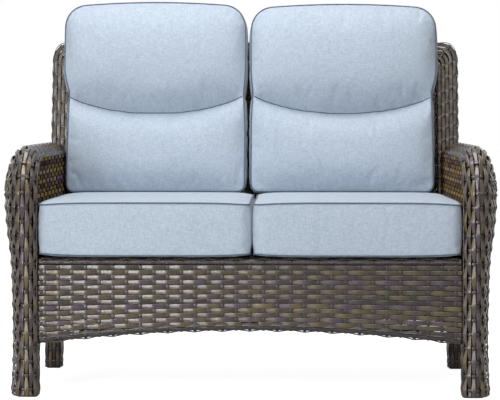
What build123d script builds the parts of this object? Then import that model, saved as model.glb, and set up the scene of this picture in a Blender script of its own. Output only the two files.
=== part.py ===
from build123d import *

import os
from math import cos, radians, sin, tan

# A two-seat woven patio loveseat with rolled arms and four loose cushions.
# Lengths are millimetres. +Y runs from the front to the back and +Z is up.
# The origin lies on the floor, at the centre of the bounding box.

# Driving sizes of the whole seat
overall_width = 1320.0
overall_depth = 772.0
arm_width = 95.0
deck_height = 374.0
arm_rim_height = 640.0
arm_crown = 27.0
arm_drop = 85.0
roll_radius = 105.0
arm_splay_angle = 2.0
back_height = 965.0
back_overlap = 30.0
back_thickness = 42.0
back_tilt_angle = 12.0

# Thicknesses, tubes and clearances
weave_thickness = 3.0
arm_tube_radius = 9.5
rail_radius = 10.0
brace_radius = 8.0
back_tube_radius = 12.5
tube_wall = 1.5
soft_clearance = 0.5
seat_gap = 0.3
cut_overrun = 40.0
panel_seam = 1.5
bend_steps = 8

# Front legs and arms
leg_depth_share = 0.53
leg_inner_tube_inset = 12.5
leg_tube_depth = 16.0
leg_outer_tube_inset_foot = 30.0
leg_outer_tube_inset_arm = 38.0
bow_width = 12.0
bow_thickness = 2.0
bow_clearance = 6.0
glide_height = 3.0
glide_margin = 4.0
glide_stem_radius = 5.0
glide_stem_height = 18.0
glide_corner = 6.0
mount_bar_height = 26.0
mount_bar_thickness = 5.0

# Rear legs
rear_leg_size = 46.0
rear_leg_splay = 70.0
rear_leg_lead = 2.0

# Apron below the seat
apron_setback = 2.0
apron_bottom_end = 142.0
apron_bottom_middle = 178.0
upright_radius = 3.0
upright_count = 5
brace_count = 3

# Back frame
border_width = 65.0
border_corner = 45.0
border_inner_corner = 15.0
back_support_radius = 6.0
back_support_count = 3
bracket_width = 40.0
bracket_thickness = 3.0
bracket_leg = 20.0
bracket_offset_share = 0.72

# Fasteners
bolt_radius = 4.0
bolt_hole_radius = 4.5
bolt_head_radius = 7.0
bolt_head_height = 5.0
bolt_end_margin = 70.0
bolt_count = 3

# Seat cushions
seat_cushion_thickness = 144.0
seat_cushion_crown = 11.0
seat_cushion_end_crown = 3.0
seat_cushion_bulge = 7.0
seat_cushion_overhang = 10.0
seat_cushion_corner = 28.0
seat_cushion_draw = 2.5
seat_split = 6.0
cushion_side_clearance = 3.0
cushion_split_gap = 2.0
foam_inset = 24.0
foam_clearance = 0.3

# Back cushions
back_cushion_width_share = 0.4894
back_cushion_left_gap = 3.2
back_cushion_split_gap = 2.5
back_cushion_height = 526.0
back_cushion_edge = 112.0
back_cushion_lower_bulge = 30.0
back_cushion_head_bulge = 44.0
back_cushion_crease = 16.0
back_cushion_top_bulge = 18.0
back_cushion_top_end_bulge = 4.0
back_cushion_corner = 72.0
back_cushion_waist = 5.0
smile_rise = 50.0
smile_height = 225.0

# Zippers
zipper_length_share = 0.75
zipper_groove_height = 14.0
zipper_groove_depth = 6.0
zipper_tape_thickness = 1.0
zipper_teeth_height = 4.0
zipper_teeth_thickness = 1.6
slider_length = 9.0
slider_height = 8.0
slider_thickness = 2.2
slider_gap = 0.2
pull_length = 18.0
pull_height = 4.0
pull_thickness = 0.8
zipper_rise = 60.0

# Places worked out from the sizes
splay = radians(arm_splay_angle)
tilt = radians(back_tilt_angle)
arm_inner_half = overall_width / 2 - arm_width * cos(splay) + arm_drop * sin(splay)
front_edge_y = arm_crown - overall_depth / 2 - arm_width * sin(splay) / 2
roll_start = arm_rim_height - roll_radius
back_length = (back_height - deck_height) / cos(tilt)
back_foot_y = overall_depth / 2 - back_length * sin(tilt) - back_thickness * cos(tilt)
leg_depth = arm_drop * leg_depth_share
rail_height = deck_height - weave_thickness - rail_radius
apron_face_y = front_edge_y + apron_setback
front_rail_y = apron_face_y + weave_thickness + rail_radius
rear_rail_y = back_foot_y - rail_radius - weave_thickness
seat_top = deck_height + seat_cushion_thickness
rear_leg_top_y = back_foot_y - rear_leg_lead

# The arm's own frame: x outwards across the arm, y backwards, z up
arm_plane = Plane(
    origin=(arm_inner_half, front_edge_y, 0),
    x_dir=(cos(splay), sin(splay), 0),
    z_dir=(0, 0, 1),
)
across = arm_plane.x_dir
along = arm_plane.y_dir

# The front face of the back: x across, y up the back, z forwards
back_plane = Plane(
    origin=(0, back_foot_y, deck_height),
    x_dir=(1, 0, 0),
    z_dir=(0, -cos(tilt), sin(tilt)),
)

# Each leg station: height as a share of the roll's start, then width, crown
# and side drop as shares of the arm's own
leg_station_shares = (
    (0.0, 0.783, 0.52, leg_depth_share),
    (0.267, 0.728, 0.52, leg_depth_share),
    (0.492, 0.75, 0.55, 0.59),
    (0.69, 0.804, 0.65, 0.71),
    (0.858, 0.94, 0.86, 0.88),
    (1.0, 1.0, 1.0, 1.0),
)
# The arch across the arm: shares of its width, crown and side drop
arch_shares = (
    (0.0, 0.0, 0.0),
    (0.22, 0.7, 0.0),
    (0.47, 1.0, 0.0),
    (0.68, 0.6, 0.0),
    (0.83, -0.3, 0.0),
    (0.945, 0.0, -0.5),
    (1.0, 0.0, -1.0),
)
# How far each point of the arch moves across and in for the inner face
arch_inset_shares = (
    (0.0, -1.0),
    (0.35, -0.94),
    (0.0, -1.0),
    (-0.5, -0.87),
    (-0.8, -0.6),
    (-1.0, 0.0),
    (-1.0, 0.0),
)


def write(piece, name):
    piece.part.label = name
    export_step(piece.part, f"parts/{name}.step")


def write_pair(piece, name):
    write(piece, f"{name}_right")
    with BuildPart() as twin:
        mirror(piece.part, about=Plane.YZ)
    write(twin, f"{name}_left")


def leg_share_at(height, column):
    # Straight-line value of one column of the leg stations at a height
    share = height / roll_start
    for low, high in zip(leg_station_shares, leg_station_shares[1:]):
        if share <= high[0]:
            part = (share - low[0]) / (high[0] - low[0])
            return low[column] + part * (high[column] - low[column])
    return leg_station_shares[-1][column]


def leg_width_at(height):
    return arm_width * leg_share_at(height, 1)


def inner_face_x(y):
    # Inner face of the right arm at a place along the seat
    return arm_inner_half - (y - front_edge_y) * tan(splay)


def arch_points(width, crown, drop, inset):
    points = []
    for (s, c, d), (ds, dc) in zip(arch_shares, arch_inset_shares):
        points.append((s * width + ds * inset, c * crown + d * drop + dc * inset))
    return points


def arch_face(width, crown, drop):
    # The woven skin's section: an arch and its inner face, closed at both edges
    outer = arch_points(width, crown, drop, 0)
    inner = arch_points(width, crown, drop, weave_thickness)
    with BuildLine() as outline:
        ThreePointArc(outer[0], outer[1], outer[2])
        ThreePointArc(outer[2], outer[3], outer[4])
        ThreePointArc(outer[4], outer[5], outer[6])
        Line(outer[6], inner[6])
        ThreePointArc(inner[6], inner[5], inner[4])
        ThreePointArc(inner[4], inner[3], inner[2])
        ThreePointArc(inner[2], inner[1], inner[0])
        Line(inner[0], outer[0])
    make_face(outline.edges())


def leg_section_plane(height):
    # x outwards across the leg, y forwards
    return Plane(
        origin=arm_plane.from_local_coords((0, 0, height)),
        x_dir=across,
        z_dir=(0, 0, -1),
    )


def roll_section_plane(angle):
    # Section of the rolled arm, from the upright leg (0) to the level arm (90)
    turn = radians(angle)
    outwards = Vector(0, 0, 1) * sin(turn) - along * cos(turn)
    centre = arm_plane.from_local_coords((0, roll_radius, roll_start))
    return Plane(
        origin=centre + outwards * roll_radius,
        x_dir=across,
        z_dir=across.cross(outwards),
    )


def arm_section_plane(distance):
    # Section of the level arm; x outwards, y up, normal forwards
    return Plane(
        origin=arm_plane.from_local_coords((0, distance, arm_rim_height)),
        x_dir=across,
        z_dir=along * -1,
    )


def side_plane(offset):
    # Side view of the arm: x backwards, y up, normal outwards
    return Plane(
        origin=arm_plane.from_local_coords((offset, 0, 0)),
        x_dir=along,
        z_dir=across,
    )


def back_distance_at(height):
    # Distance from the arm's front edge to the back's front face
    return (back_foot_y - front_edge_y + (height - deck_height) * tan(tilt)) / cos(splay)


def tube_ring(radius):
    Circle(radius)
    Circle(radius - tube_wall, mode=Mode.SUBTRACT)


def run_along(path, section):
    # Carries a drawn section along a path of straight runs and arcs
    for run in path.edges():
        steps = 1 if run.geom_type == GeomType.LINE else bend_steps
        cuts = []
        for step in range(steps + 1):
            with BuildSketch(run ^ (step / steps)) as cut:
                section()
            cuts.append(cut.sketch)
        loft(cuts, ruled=True)


os.makedirs("parts", exist_ok=True)

arm_length = back_distance_at(arm_rim_height) + cut_overrun
rear_leg_front = (rear_leg_top_y - front_edge_y) / cos(splay)


def rear_leg_front_at(height):
    drop_share = (deck_height - height) / deck_height
    return rear_leg_front + rear_leg_splay * drop_share


# Woven band: front of the leg, the roll and the top of the arm
with BuildPart() as arm_band:
    for station, width_share, crown_share, drop_share in leg_station_shares:
        station_height = glide_height + station * (roll_start - glide_height)
        with BuildSketch(leg_section_plane(station_height)):
            arch_face(arm_width * width_share, arm_crown * crown_share, arm_drop * drop_share)
    loft()
    with BuildSketch(roll_section_plane(0)):
        arch_face(arm_width, arm_crown, arm_drop)
    revolve(
        axis=Axis(arm_plane.from_local_coords((0, roll_radius, roll_start)), across * -1),
        revolution_arc=90,
    )
    with BuildSketch(arm_section_plane(roll_radius)):
        arch_face(arm_width, arm_crown, arm_drop)
    extrude(amount=roll_radius - arm_length)
    split(bisect_by=back_plane, keep=Keep.TOP)
write_pair(arm_band, "arm_band")

# Bent steel tubes under the two edges of the band
foot_outer_inset = leg_width_at(0) - leg_outer_tube_inset_foot
arm_outer_inset = arm_width - leg_outer_tube_inset_arm
tube_top = arm_rim_height - leg_tube_depth
tube_end = (
    back_distance_at(tube_top)
    - weave_thickness
    - arm_tube_radius * tan(tilt)
    - arm_width * tan(splay)
    - seat_gap
)
tube_foot = glide_height + seat_gap
with BuildPart() as arm_tubes:
    for foot_inset, top_inset in (
        (leg_inner_tube_inset, leg_inner_tube_inset),
        (foot_outer_inset, arm_outer_inset),
    ):
        with BuildLine() as tube_path:
            FilletPolyline(
                arm_plane.from_local_coords((foot_inset, leg_tube_depth, tube_foot)),
                arm_plane.from_local_coords((top_inset, leg_tube_depth, tube_top)),
                arm_plane.from_local_coords((top_inset, tube_end, tube_top)),
                radius=roll_radius - leg_tube_depth,
            )
        run_along(tube_path.line, lambda: Circle(arm_tube_radius))
write_pair(arm_tubes, "arm_tubes")


def bow_face(crown, outer_tube_inset):
    # A flat steel bow that stands on both tubes and holds the weave's crown up
    low = arm_tube_radius - leg_tube_depth
    top = crown - weave_thickness - bow_clearance
    middle = (leg_inner_tube_inset + outer_tube_inset) / 2
    with BuildLine() as outline:
        ThreePointArc((leg_inner_tube_inset, low), (middle, top), (outer_tube_inset, low))
        Line((outer_tube_inset, low), (outer_tube_inset - bow_thickness, low))
        ThreePointArc(
            (outer_tube_inset - bow_thickness, low),
            (middle, top - bow_thickness),
            (leg_inner_tube_inset + bow_thickness, low),
        )
        Line((leg_inner_tube_inset + bow_thickness, low), (leg_inner_tube_inset, low))
    make_face(outline.edges())


# Flat bows between the tubes: on the leg, round the roll and along the arm
leg_bow_shares = (0.18, 0.45, 0.72)
roll_bow_angles = (15, 50)
arm_bow_shares = (0.04, 0.34, 0.66, 0.96)
with BuildPart() as arm_bows:
    for station in leg_bow_shares:
        height = station * roll_start
        outer_inset = foot_outer_inset + station * (arm_outer_inset - foot_outer_inset)
        with BuildSketch(leg_section_plane(height)):
            bow_face(arm_crown * leg_share_at(height, 2), outer_inset)
        extrude(amount=bow_width / 2, both=True)
    for angle in roll_bow_angles:
        with BuildSketch(roll_section_plane(angle)):
            bow_face(arm_crown, arm_outer_inset)
        extrude(amount=bow_width / 2, both=True)
    for station in arm_bow_shares:
        distance = roll_radius + station * (tube_end - roll_radius - bow_width)
        with BuildSketch(arm_section_plane(distance + bow_width / 2)):
            bow_face(arm_crown, arm_outer_inset)
        extrude(amount=bow_width / 2, both=True)
write_pair(arm_bows, "arm_bows")

# Woven inner and rear sides of the front leg
sleeve_top = rail_height - rail_radius
with BuildPart() as leg_sleeve:
    for height in (glide_height, leg_station_shares[1][0] * roll_start, sleeve_top):
        with BuildSketch(arm_plane.offset(height)):
            rear_end = leg_width_at(height) - 3 * weave_thickness
            with BuildLine():
                Polyline(
                    (0, weave_thickness),
                    (weave_thickness, weave_thickness),
                    (weave_thickness, leg_depth - weave_thickness),
                    (rear_end, leg_depth - weave_thickness),
                    (rear_end, leg_depth),
                    (0, leg_depth),
                    close=True,
                )
            make_face()
    loft(ruled=True)
write_pair(leg_sleeve, "leg_sleeve")

# Woven inner face of the arm, from below the seat to the rim
panel_bottom = rail_height - mount_bar_height / 2
panel_top = arm_rim_height - weave_thickness
bolt_places = [
    bolt_end_margin + step * (rear_leg_front - 2 * bolt_end_margin) / (bolt_count - 1)
    for step in range(bolt_count)
]
with BuildPart() as arm_inner_panel:
    with BuildSketch(side_plane(0)):
        with BuildLine():
            Line((leg_depth, panel_bottom), (leg_depth, sleeve_top))
            Line((leg_depth, sleeve_top), (weave_thickness, sleeve_top))
            Line((weave_thickness, sleeve_top), (weave_thickness, roll_start))
            RadiusArc(
                (weave_thickness, roll_start),
                (roll_radius, panel_top),
                roll_radius - weave_thickness,
            )
            Line((roll_radius, panel_top), (arm_length, panel_top))
            Line((arm_length, panel_top), (arm_length, panel_bottom))
            Line((arm_length, panel_bottom), (leg_depth, panel_bottom))
        make_face()
        with Locations(*[(place, rail_height) for place in bolt_places]):
            Circle(bolt_hole_radius, mode=Mode.SUBTRACT)
    extrude(amount=weave_thickness)
    split(bisect_by=back_plane, keep=Keep.TOP)
write_pair(arm_inner_panel, "arm_inner_panel")

# Woven outer side: it follows the leg's curved outline from the apron line to the roll
outer_top = arm_rim_height - arm_drop
with BuildPart() as arm_outer_panel:
    profile_heights = [share[0] * roll_start for share in leg_station_shares]
    with BuildSketch(arm_section_plane(0).offset(cut_overrun)) as profile:
        outer = [
            (leg_width_at(height), height - arm_rim_height) for height in profile_heights
        ]
        high_step = (arm_width, outer_top - arm_rim_height)
        with BuildLine():
            Spline(*outer)
            Line(outer[-1], high_step)
            Line(high_step, (high_step[0] - weave_thickness, high_step[1]))
            Line(
                (high_step[0] - weave_thickness, high_step[1]),
                (outer[-1][0] - weave_thickness, outer[-1][1]),
            )
            Spline(*[(s - weave_thickness, z) for s, z in reversed(outer)])
            Line((outer[0][0] - weave_thickness, outer[0][1]), outer[0])
        make_face()
    extrude(amount=-arm_length - rear_leg_splay)
    with BuildSketch(side_plane(0)):
        edge_heights = [apron_bottom_end]
        edge_heights += [height for height in profile_heights if height > apron_bottom_end]
        front_edge = [
            (arm_drop * leg_share_at(height, 3) + panel_seam, height)
            for height in edge_heights
        ]
        rear_low = rear_leg_front_at(apron_bottom_end) - seat_gap
        low_middle = ((front_edge[0][0] + rear_low) / 2, apron_bottom_middle)
        rear_deck = rear_leg_front_at(deck_height) - seat_gap
        with BuildLine():
            Polyline(*front_edge)
            RadiusArc(
                front_edge[-1],
                (roll_radius, outer_top - panel_seam),
                roll_radius - arm_drop - panel_seam,
            )
            Line(
                (roll_radius, outer_top - panel_seam),
                (back_distance_at(outer_top), outer_top - panel_seam),
            )
            Line(
                (back_distance_at(outer_top), outer_top - panel_seam),
                (back_distance_at(deck_height), deck_height),
            )
            Line((back_distance_at(deck_height), deck_height), (rear_deck, deck_height))
            Line((rear_deck, deck_height), (rear_low, apron_bottom_end))
            ThreePointArc((rear_low, apron_bottom_end), low_middle, front_edge[0])
        make_face()
    extrude(amount=overall_width, mode=Mode.INTERSECT)
write_pair(arm_outer_panel, "arm_outer_panel")

# Woven sheet that closes the arm's rear end, against the face of the back
with BuildPart() as arm_rear_cap:
    with BuildSketch(arm_section_plane(0)):
        cap_bottom = deck_height + seat_gap - arm_rim_height
        inner = arch_points(arm_width, arm_crown, arm_drop, weave_thickness + panel_seam)
        low_width = leg_width_at(deck_height) - weave_thickness - panel_seam
        mid_height = (deck_height + outer_top) / 2
        mid_width = leg_width_at(mid_height) - weave_thickness - panel_seam
        cap_inner = weave_thickness + seat_gap
        with BuildLine():
            Line((cap_inner, cap_bottom), (cap_inner, inner[0][1]))
            ThreePointArc((cap_inner, inner[0][1]), inner[1], inner[2])
            ThreePointArc(inner[2], inner[3], inner[4])
            ThreePointArc(inner[4], inner[5], inner[6])
            ThreePointArc(
                inner[6], (mid_width, mid_height - arm_rim_height), (low_width, cap_bottom)
            )
            Line((low_width, cap_bottom), (cap_inner, cap_bottom))
        make_face()
    extrude(amount=-arm_length)
    split(bisect_by=back_plane, keep=Keep.TOP)
    split(bisect_by=back_plane.offset(weave_thickness), keep=Keep.BOTTOM)
write_pair(arm_rear_cap, "arm_rear_cap")

# Arched steel rail along the lower edge of the side
side_rail_inset = leg_width_at(apron_bottom_end) - weave_thickness - brace_radius - seat_gap
side_rail_low = apron_bottom_end + rail_radius
side_rail_mid = apron_bottom_middle + rail_radius
side_rail_run = rear_leg_front_at(side_rail_low) - leg_depth
side_rail_slope = 4 * (side_rail_mid - side_rail_low) / side_rail_run
side_rail_front = leg_depth + brace_radius * side_rail_slope + seat_gap
side_rail_rear = (
    rear_leg_front_at(side_rail_low)
    - brace_radius * (side_rail_slope + rear_leg_splay / deck_height)
    - seat_gap
)
with BuildPart() as side_rail:
    with BuildLine() as side_rail_path:
        ThreePointArc(
            arm_plane.from_local_coords((side_rail_inset, side_rail_front, side_rail_low)),
            arm_plane.from_local_coords(
                (side_rail_inset, (side_rail_front + side_rail_rear) / 2, side_rail_mid)
            ),
            arm_plane.from_local_coords((side_rail_inset, side_rail_rear, side_rail_low)),
        )
    run_along(side_rail_path.line, lambda: Circle(brace_radius))
write_pair(side_rail, "side_rail")

# Flat bar inside the arm that takes the bolts of the seat frame
bar_end = rear_leg_front - seat_gap
with BuildPart() as arm_mount_bar:
    with BuildSketch(side_plane(weave_thickness + seat_gap)):
        with BuildLine():
            Polyline(
                (leg_depth + seat_gap, panel_bottom),
                (leg_depth + seat_gap, panel_bottom + mount_bar_height),
                (bar_end, panel_bottom + mount_bar_height),
                (bar_end, panel_bottom),
                close=True,
            )
        make_face()
        with Locations(*[(place, rail_height) for place in bolt_places]):
            Circle(bolt_radius, mode=Mode.SUBTRACT)
    extrude(amount=mount_bar_thickness)
write_pair(arm_mount_bar, "arm_mount_bar")


def rear_leg_corner(height):
    # Front corner of the rear leg nearest the seat
    return (
        leg_width_at(height) - rear_leg_size,
        rear_leg_front_at(height),
    )


# Woven sleeve of the rear leg
rear_leg_top = deck_height - back_thickness * sin(tilt) - seat_gap
with BuildPart() as rear_leg_sleeve:
    for inset, mode in ((0, Mode.ADD), (weave_thickness, Mode.SUBTRACT)):
        for height in (glide_height, rear_leg_top):
            corner_s, corner_t = rear_leg_corner(height)
            side = rear_leg_size - 2 * inset
            with BuildSketch(arm_plane.offset(height)):
                with Locations((corner_s + rear_leg_size / 2, corner_t + rear_leg_size / 2)):
                    Rectangle(side, side)
        loft(ruled=True, mode=mode)
write_pair(rear_leg_sleeve, "rear_leg_sleeve")

# Steel tube in the rear leg
with BuildPart() as rear_leg_tube:
    centres = [rear_leg_corner(height) for height in (glide_height, rear_leg_top)]
    for radius, mode in ((back_tube_radius, Mode.ADD), (back_tube_radius - tube_wall, Mode.SUBTRACT)):
        for (corner_s, corner_t), height in zip(centres, (glide_height, rear_leg_top)):
            with BuildSketch(arm_plane.offset(height)):
                with Locations((corner_s + rear_leg_size / 2, corner_t + rear_leg_size / 2)):
                    Circle(radius)
        loft(ruled=True, mode=mode)
write_pair(rear_leg_tube, "rear_leg_tube")

# Plastic glides under the four legs
tubes_middle = (leg_inner_tube_inset + foot_outer_inset) / 2
rear_foot_s, rear_foot_t = rear_leg_corner(0)
with BuildPart() as foot_glides:
    with BuildSketch(arm_plane):
        with Locations((tubes_middle, leg_depth / 2)):
            RectangleRounded(
                2 * (tubes_middle - glide_margin), leg_depth - 2 * glide_margin, glide_corner
            )
        with Locations((rear_foot_s + rear_leg_size / 2, rear_foot_t + rear_leg_size / 2)):
            RectangleRounded(
                rear_leg_size - 2 * glide_margin, rear_leg_size - 2 * glide_margin, glide_corner
            )
    extrude(amount=glide_height)
    with BuildSketch(arm_plane.offset(glide_height)):
        with Locations((tubes_middle, leg_tube_depth)):
            Circle(glide_stem_radius)
        with Locations((rear_foot_s + rear_leg_size / 2, rear_foot_t + rear_leg_size / 2)):
            Circle(glide_stem_radius)
    extrude(amount=glide_stem_height)
    mirror(about=Plane.YZ)
write(foot_glides, "foot_glides")

# Seat frame: front and rear rails, side rails and braces
rail_half = inner_face_x(front_rail_y + rail_radius) - seat_gap
with BuildPart() as seat_front_rail:
    with BuildSketch(Plane.YZ):
        with Locations((front_rail_y, rail_height)):
            tube_ring(rail_radius)
    extrude(amount=rail_half, both=True)
write(seat_front_rail, "seat_front_rail")

with BuildPart() as seat_rear_rail:
    with BuildSketch(Plane.YZ):
        with Locations((rear_rail_y, rail_height)):
            tube_ring(rail_radius)
    extrude(amount=inner_face_x(rear_rail_y + rail_radius) - seat_gap, both=True)
write(seat_rear_rail, "seat_rear_rail")

side_start = front_rail_y + rail_radius - front_edge_y + 3 * rail_radius * sin(splay)
brace_run = rear_rail_y - front_rail_y - 2 * rail_radius
side_run = brace_run - 6 * rail_radius * sin(splay)
with BuildPart() as seat_side_rails:
    with BuildSketch(
        Plane(
            origin=arm_plane.from_local_coords((0, side_start, rail_height)),
            x_dir=across,
            z_dir=along,
        )
    ):
        with Locations((-rail_radius - seat_gap, 0)):
            tube_ring(rail_radius)
    extrude(amount=side_run)
    with BuildSketch(side_plane(-2 * rail_radius - cut_overrun)):
        with Locations(*[(place, rail_height) for place in bolt_places]):
            Circle(bolt_hole_radius)
    extrude(amount=2 * cut_overrun, mode=Mode.SUBTRACT)
    mirror(about=Plane.YZ)
write(seat_side_rails, "seat_side_rails")

with BuildPart() as seat_braces:
    with BuildSketch(Plane.XZ.offset(-front_rail_y - rail_radius)):
        with Locations((0, deck_height - weave_thickness - brace_radius)):
            with GridLocations(2 * rail_half / (brace_count + 1), 0, brace_count, 1):
                tube_ring(brace_radius)
    extrude(amount=-brace_run)
write(seat_braces, "seat_braces")

# Woven seat deck on the rails
deck_rear_y = back_foot_y - weave_thickness / 2
with BuildPart() as seat_deck:
    with BuildSketch(Plane.XY.offset(deck_height - weave_thickness)):
        with BuildLine():
            Polyline(
                (-inner_face_x(front_rail_y) + seat_gap, front_rail_y),
                (inner_face_x(front_rail_y) - seat_gap, front_rail_y),
                (inner_face_x(deck_rear_y) - seat_gap, deck_rear_y),
                (-inner_face_x(deck_rear_y) + seat_gap, deck_rear_y),
                close=True,
            )
        make_face()
    extrude(amount=weave_thickness)
write(seat_deck, "seat_deck")

# Strands wrapped round the front rail, above the apron
wrap_radius = rail_radius + weave_thickness
apron_half = inner_face_x(front_rail_y + wrap_radius) - soft_clearance


def half_wrap_face():
    with BuildLine() as outline:
        ThreePointArc((0, wrap_radius), (-wrap_radius, 0), (0, -wrap_radius))
        Line((0, -wrap_radius), (0, -rail_radius))
        ThreePointArc((0, -rail_radius), (-rail_radius, 0), (0, rail_radius))
        Line((0, rail_radius), (0, wrap_radius))
    make_face(outline.edges())


with BuildPart() as apron_top_wrap:
    wrap_start = (-apron_half, front_rail_y, rail_height)
    with BuildSketch(Plane(origin=wrap_start, x_dir=(0, 1, 0), z_dir=(1, 0, 0))):
        half_wrap_face()
    extrude(amount=2 * apron_half)
write(apron_top_wrap, "apron_top_wrap")

# Arched lower rail of the apron with its upright rods
rail_end_z = apron_bottom_end + wrap_radius
rail_mid_z = apron_bottom_middle + wrap_radius
rise = rail_mid_z - rail_end_z
arch_radius = (apron_half**2 + rise**2) / (2 * rise)
arch_half = apron_half - 2 * wrap_radius * rise / apron_half


def arch_height_at(x):
    # Height of the arched rail's centre line, whose sag is the rise over the apron's half
    return rail_mid_z - arch_radius + (arch_radius**2 - x**2) ** 0.5


def apron_arch(half_width, centre_y):
    end_z = arch_height_at(half_width)
    ThreePointArc(
        (-half_width, centre_y, end_z), (0, centre_y, rail_mid_z), (half_width, centre_y, end_z)
    )


with BuildPart() as apron_frame:
    with BuildLine() as arch_path:
        apron_arch(arch_half, front_rail_y)
    run_along(arch_path.line, lambda: Circle(rail_radius))
    upright_top = rail_height - rail_radius
    for step in range(upright_count):
        upright_x = apron_half * (2 * (step + 1) / (upright_count + 1) - 1)
        upright_foot = arch_height_at(upright_x) + rail_radius + 2 * seat_gap
        with BuildSketch(Plane.XY.offset(upright_foot)):
            with Locations((upright_x, front_rail_y + upright_radius + seat_gap)):
                Circle(upright_radius)
        extrude(amount=upright_top - upright_foot)
write(apron_frame, "apron_frame")

# Strands wrapped round the arched rail
with BuildPart() as apron_bottom_wrap:
    with BuildLine() as wrap_path:
        apron_arch(arch_half, front_rail_y)
    wrap_cuts = []
    for step in range(bend_steps + 1):
        share = step / bend_steps
        wrap_plane = Plane(
            origin=wrap_path.line @ share, x_dir=(0, 1, 0), z_dir=wrap_path.line % share
        )
        with BuildSketch(wrap_plane) as wrap_cut:
            half_wrap_face()
        wrap_cuts.append(wrap_cut.sketch)
    loft(wrap_cuts, ruled=True)
write(apron_bottom_wrap, "apron_bottom_wrap")

# Woven apron between the two wrapped rails
with BuildPart() as apron_weave:
    with BuildSketch(Plane.XZ.offset(-apron_face_y - weave_thickness)):
        apron_top = rail_height - (wrap_radius**2 - rail_radius**2) ** 0.5 - seat_gap
        sheet_lift = (wrap_radius**2 - rail_radius**2) ** 0.5 + seat_gap
        with BuildLine():
            Line((-apron_half, apron_top), (apron_half, apron_top))
            Line((apron_half, apron_top), (apron_half, rail_end_z + sheet_lift))
            ThreePointArc(
                (apron_half, rail_end_z + sheet_lift),
                (0, rail_mid_z + sheet_lift),
                (-apron_half, rail_end_z + sheet_lift),
            )
            Line((-apron_half, rail_end_z + sheet_lift), (-apron_half, apron_top))
        make_face()
    extrude(amount=weave_thickness)
write(apron_weave, "apron_weave")

# Back frame: a steel hoop with a bottom rail
back_half = arm_inner_half + back_overlap
hoop_half = back_half - border_width / 2
hoop_top = back_length - border_width / 2
hoop_low = (back_tube_radius - weave_thickness + back_thickness / 2 * sin(tilt)) / cos(tilt)
with BuildPart() as back_hoop:
    with BuildLine(back_plane.offset(-back_thickness / 2)) as hoop_path:
        FilletPolyline(
            (-hoop_half, hoop_low),
            (-hoop_half, hoop_top),
            (hoop_half, hoop_top),
            (hoop_half, hoop_low),
            radius=border_corner,
        )
    run_along(hoop_path.line, lambda: Circle(back_tube_radius))
write(back_hoop, "back_hoop")

bottom_rail_plane = Plane(
    origin=back_plane.from_local_coords((0, hoop_low, -back_thickness / 2)),
    x_dir=back_plane.y_dir,
    z_dir=(1, 0, 0),
)
with BuildPart() as back_bottom_rail:
    with BuildSketch(bottom_rail_plane):
        tube_ring(back_tube_radius)
    extrude(amount=hoop_half - back_tube_radius - seat_gap, both=True)
write(back_bottom_rail, "back_bottom_rail")


def border_outline(inset):
    # The hoop-shaped outline of the woven border, open at the bottom
    half = back_half - inset
    top = back_length - inset
    inner_half = back_half - border_width + inset
    inner_top = back_length - border_width + inset
    low = -inset
    with BuildLine() as outline:
        FilletPolyline(
            (-half, low), (-half, top), (half, top), (half, low), radius=border_corner - inset
        )
        Line((half, low), (inner_half, low))
        FilletPolyline(
            (inner_half, low),
            (inner_half, inner_top),
            (-inner_half, inner_top),
            (-inner_half, low),
            radius=border_inner_corner + inset,
        )
        Line((-inner_half, low), (-half, low))
    make_face(outline.edges())


# Woven border round the hoop, hollow and open at its two feet
with BuildPart() as back_border:
    with BuildSketch(back_plane):
        border_outline(0)
    extrude(amount=-back_thickness)
    with BuildSketch(back_plane.offset(-weave_thickness)):
        border_outline(weave_thickness)
    extrude(amount=2 * weave_thickness - back_thickness, mode=Mode.SUBTRACT)
    with BuildSketch(bottom_rail_plane):
        Circle(back_tube_radius + seat_gap)
    extrude(amount=hoop_half, both=True, mode=Mode.SUBTRACT)
write(back_border, "back_border")

# Woven faces of the back, inside the border
face_half = back_half - border_width - seat_gap
face_top = back_length - border_width - seat_gap
for face_name, face_offset in (
    ("back_front_weave", 0),
    ("back_rear_weave", weave_thickness - back_thickness),
):
    with BuildPart() as back_face:
        with BuildSketch(back_plane.offset(face_offset)):
            with Locations((0, face_top / 2)):
                Rectangle(2 * face_half, face_top)
            fillet(vertices().group_by(Axis.Y)[-1], border_inner_corner)
        extrude(amount=-weave_thickness)
    write(back_face, face_name)

# Upright rods behind the front weave
with BuildPart() as back_supports:
    rod_low = hoop_low + back_tube_radius + seat_gap
    rod_top = back_length - border_width - seat_gap
    rod_plane = Plane(
        origin=back_plane.from_local_coords((0, rod_low, -back_thickness / 2)),
        x_dir=(1, 0, 0),
        z_dir=back_plane.y_dir,
    )
    with BuildSketch(rod_plane):
        with GridLocations(2 * face_half / (back_support_count + 1), 0, back_support_count, 1):
            Circle(back_support_radius)
    extrude(amount=rod_top - rod_low)
write(back_supports, "back_supports")

# Angle brackets that tie the back's bottom rail to the seat's rear rail
with BuildPart() as back_brackets:
    bracket_y = rear_rail_y + rail_radius + seat_gap
    bracket_offset = bracket_offset_share * back_half
    for centre_x in (-bracket_offset, bracket_offset):
        with BuildSketch(Plane.YZ.offset(centre_x)):
            with BuildLine():
                Polyline(
                    (bracket_y, rail_height - rail_radius),
                    (bracket_y, deck_height - weave_thickness - seat_gap),
                    (bracket_y + bracket_leg, deck_height - weave_thickness - seat_gap),
                    (
                        bracket_y + bracket_leg,
                        deck_height - weave_thickness - seat_gap - bracket_thickness,
                    ),
                    (
                        bracket_y + bracket_thickness,
                        deck_height - weave_thickness - seat_gap - bracket_thickness,
                    ),
                    (bracket_y + bracket_thickness, rail_height - rail_radius),
                    close=True,
                )
            make_face()
        extrude(amount=bracket_width / 2, both=True)
write(back_brackets, "back_brackets")

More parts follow.
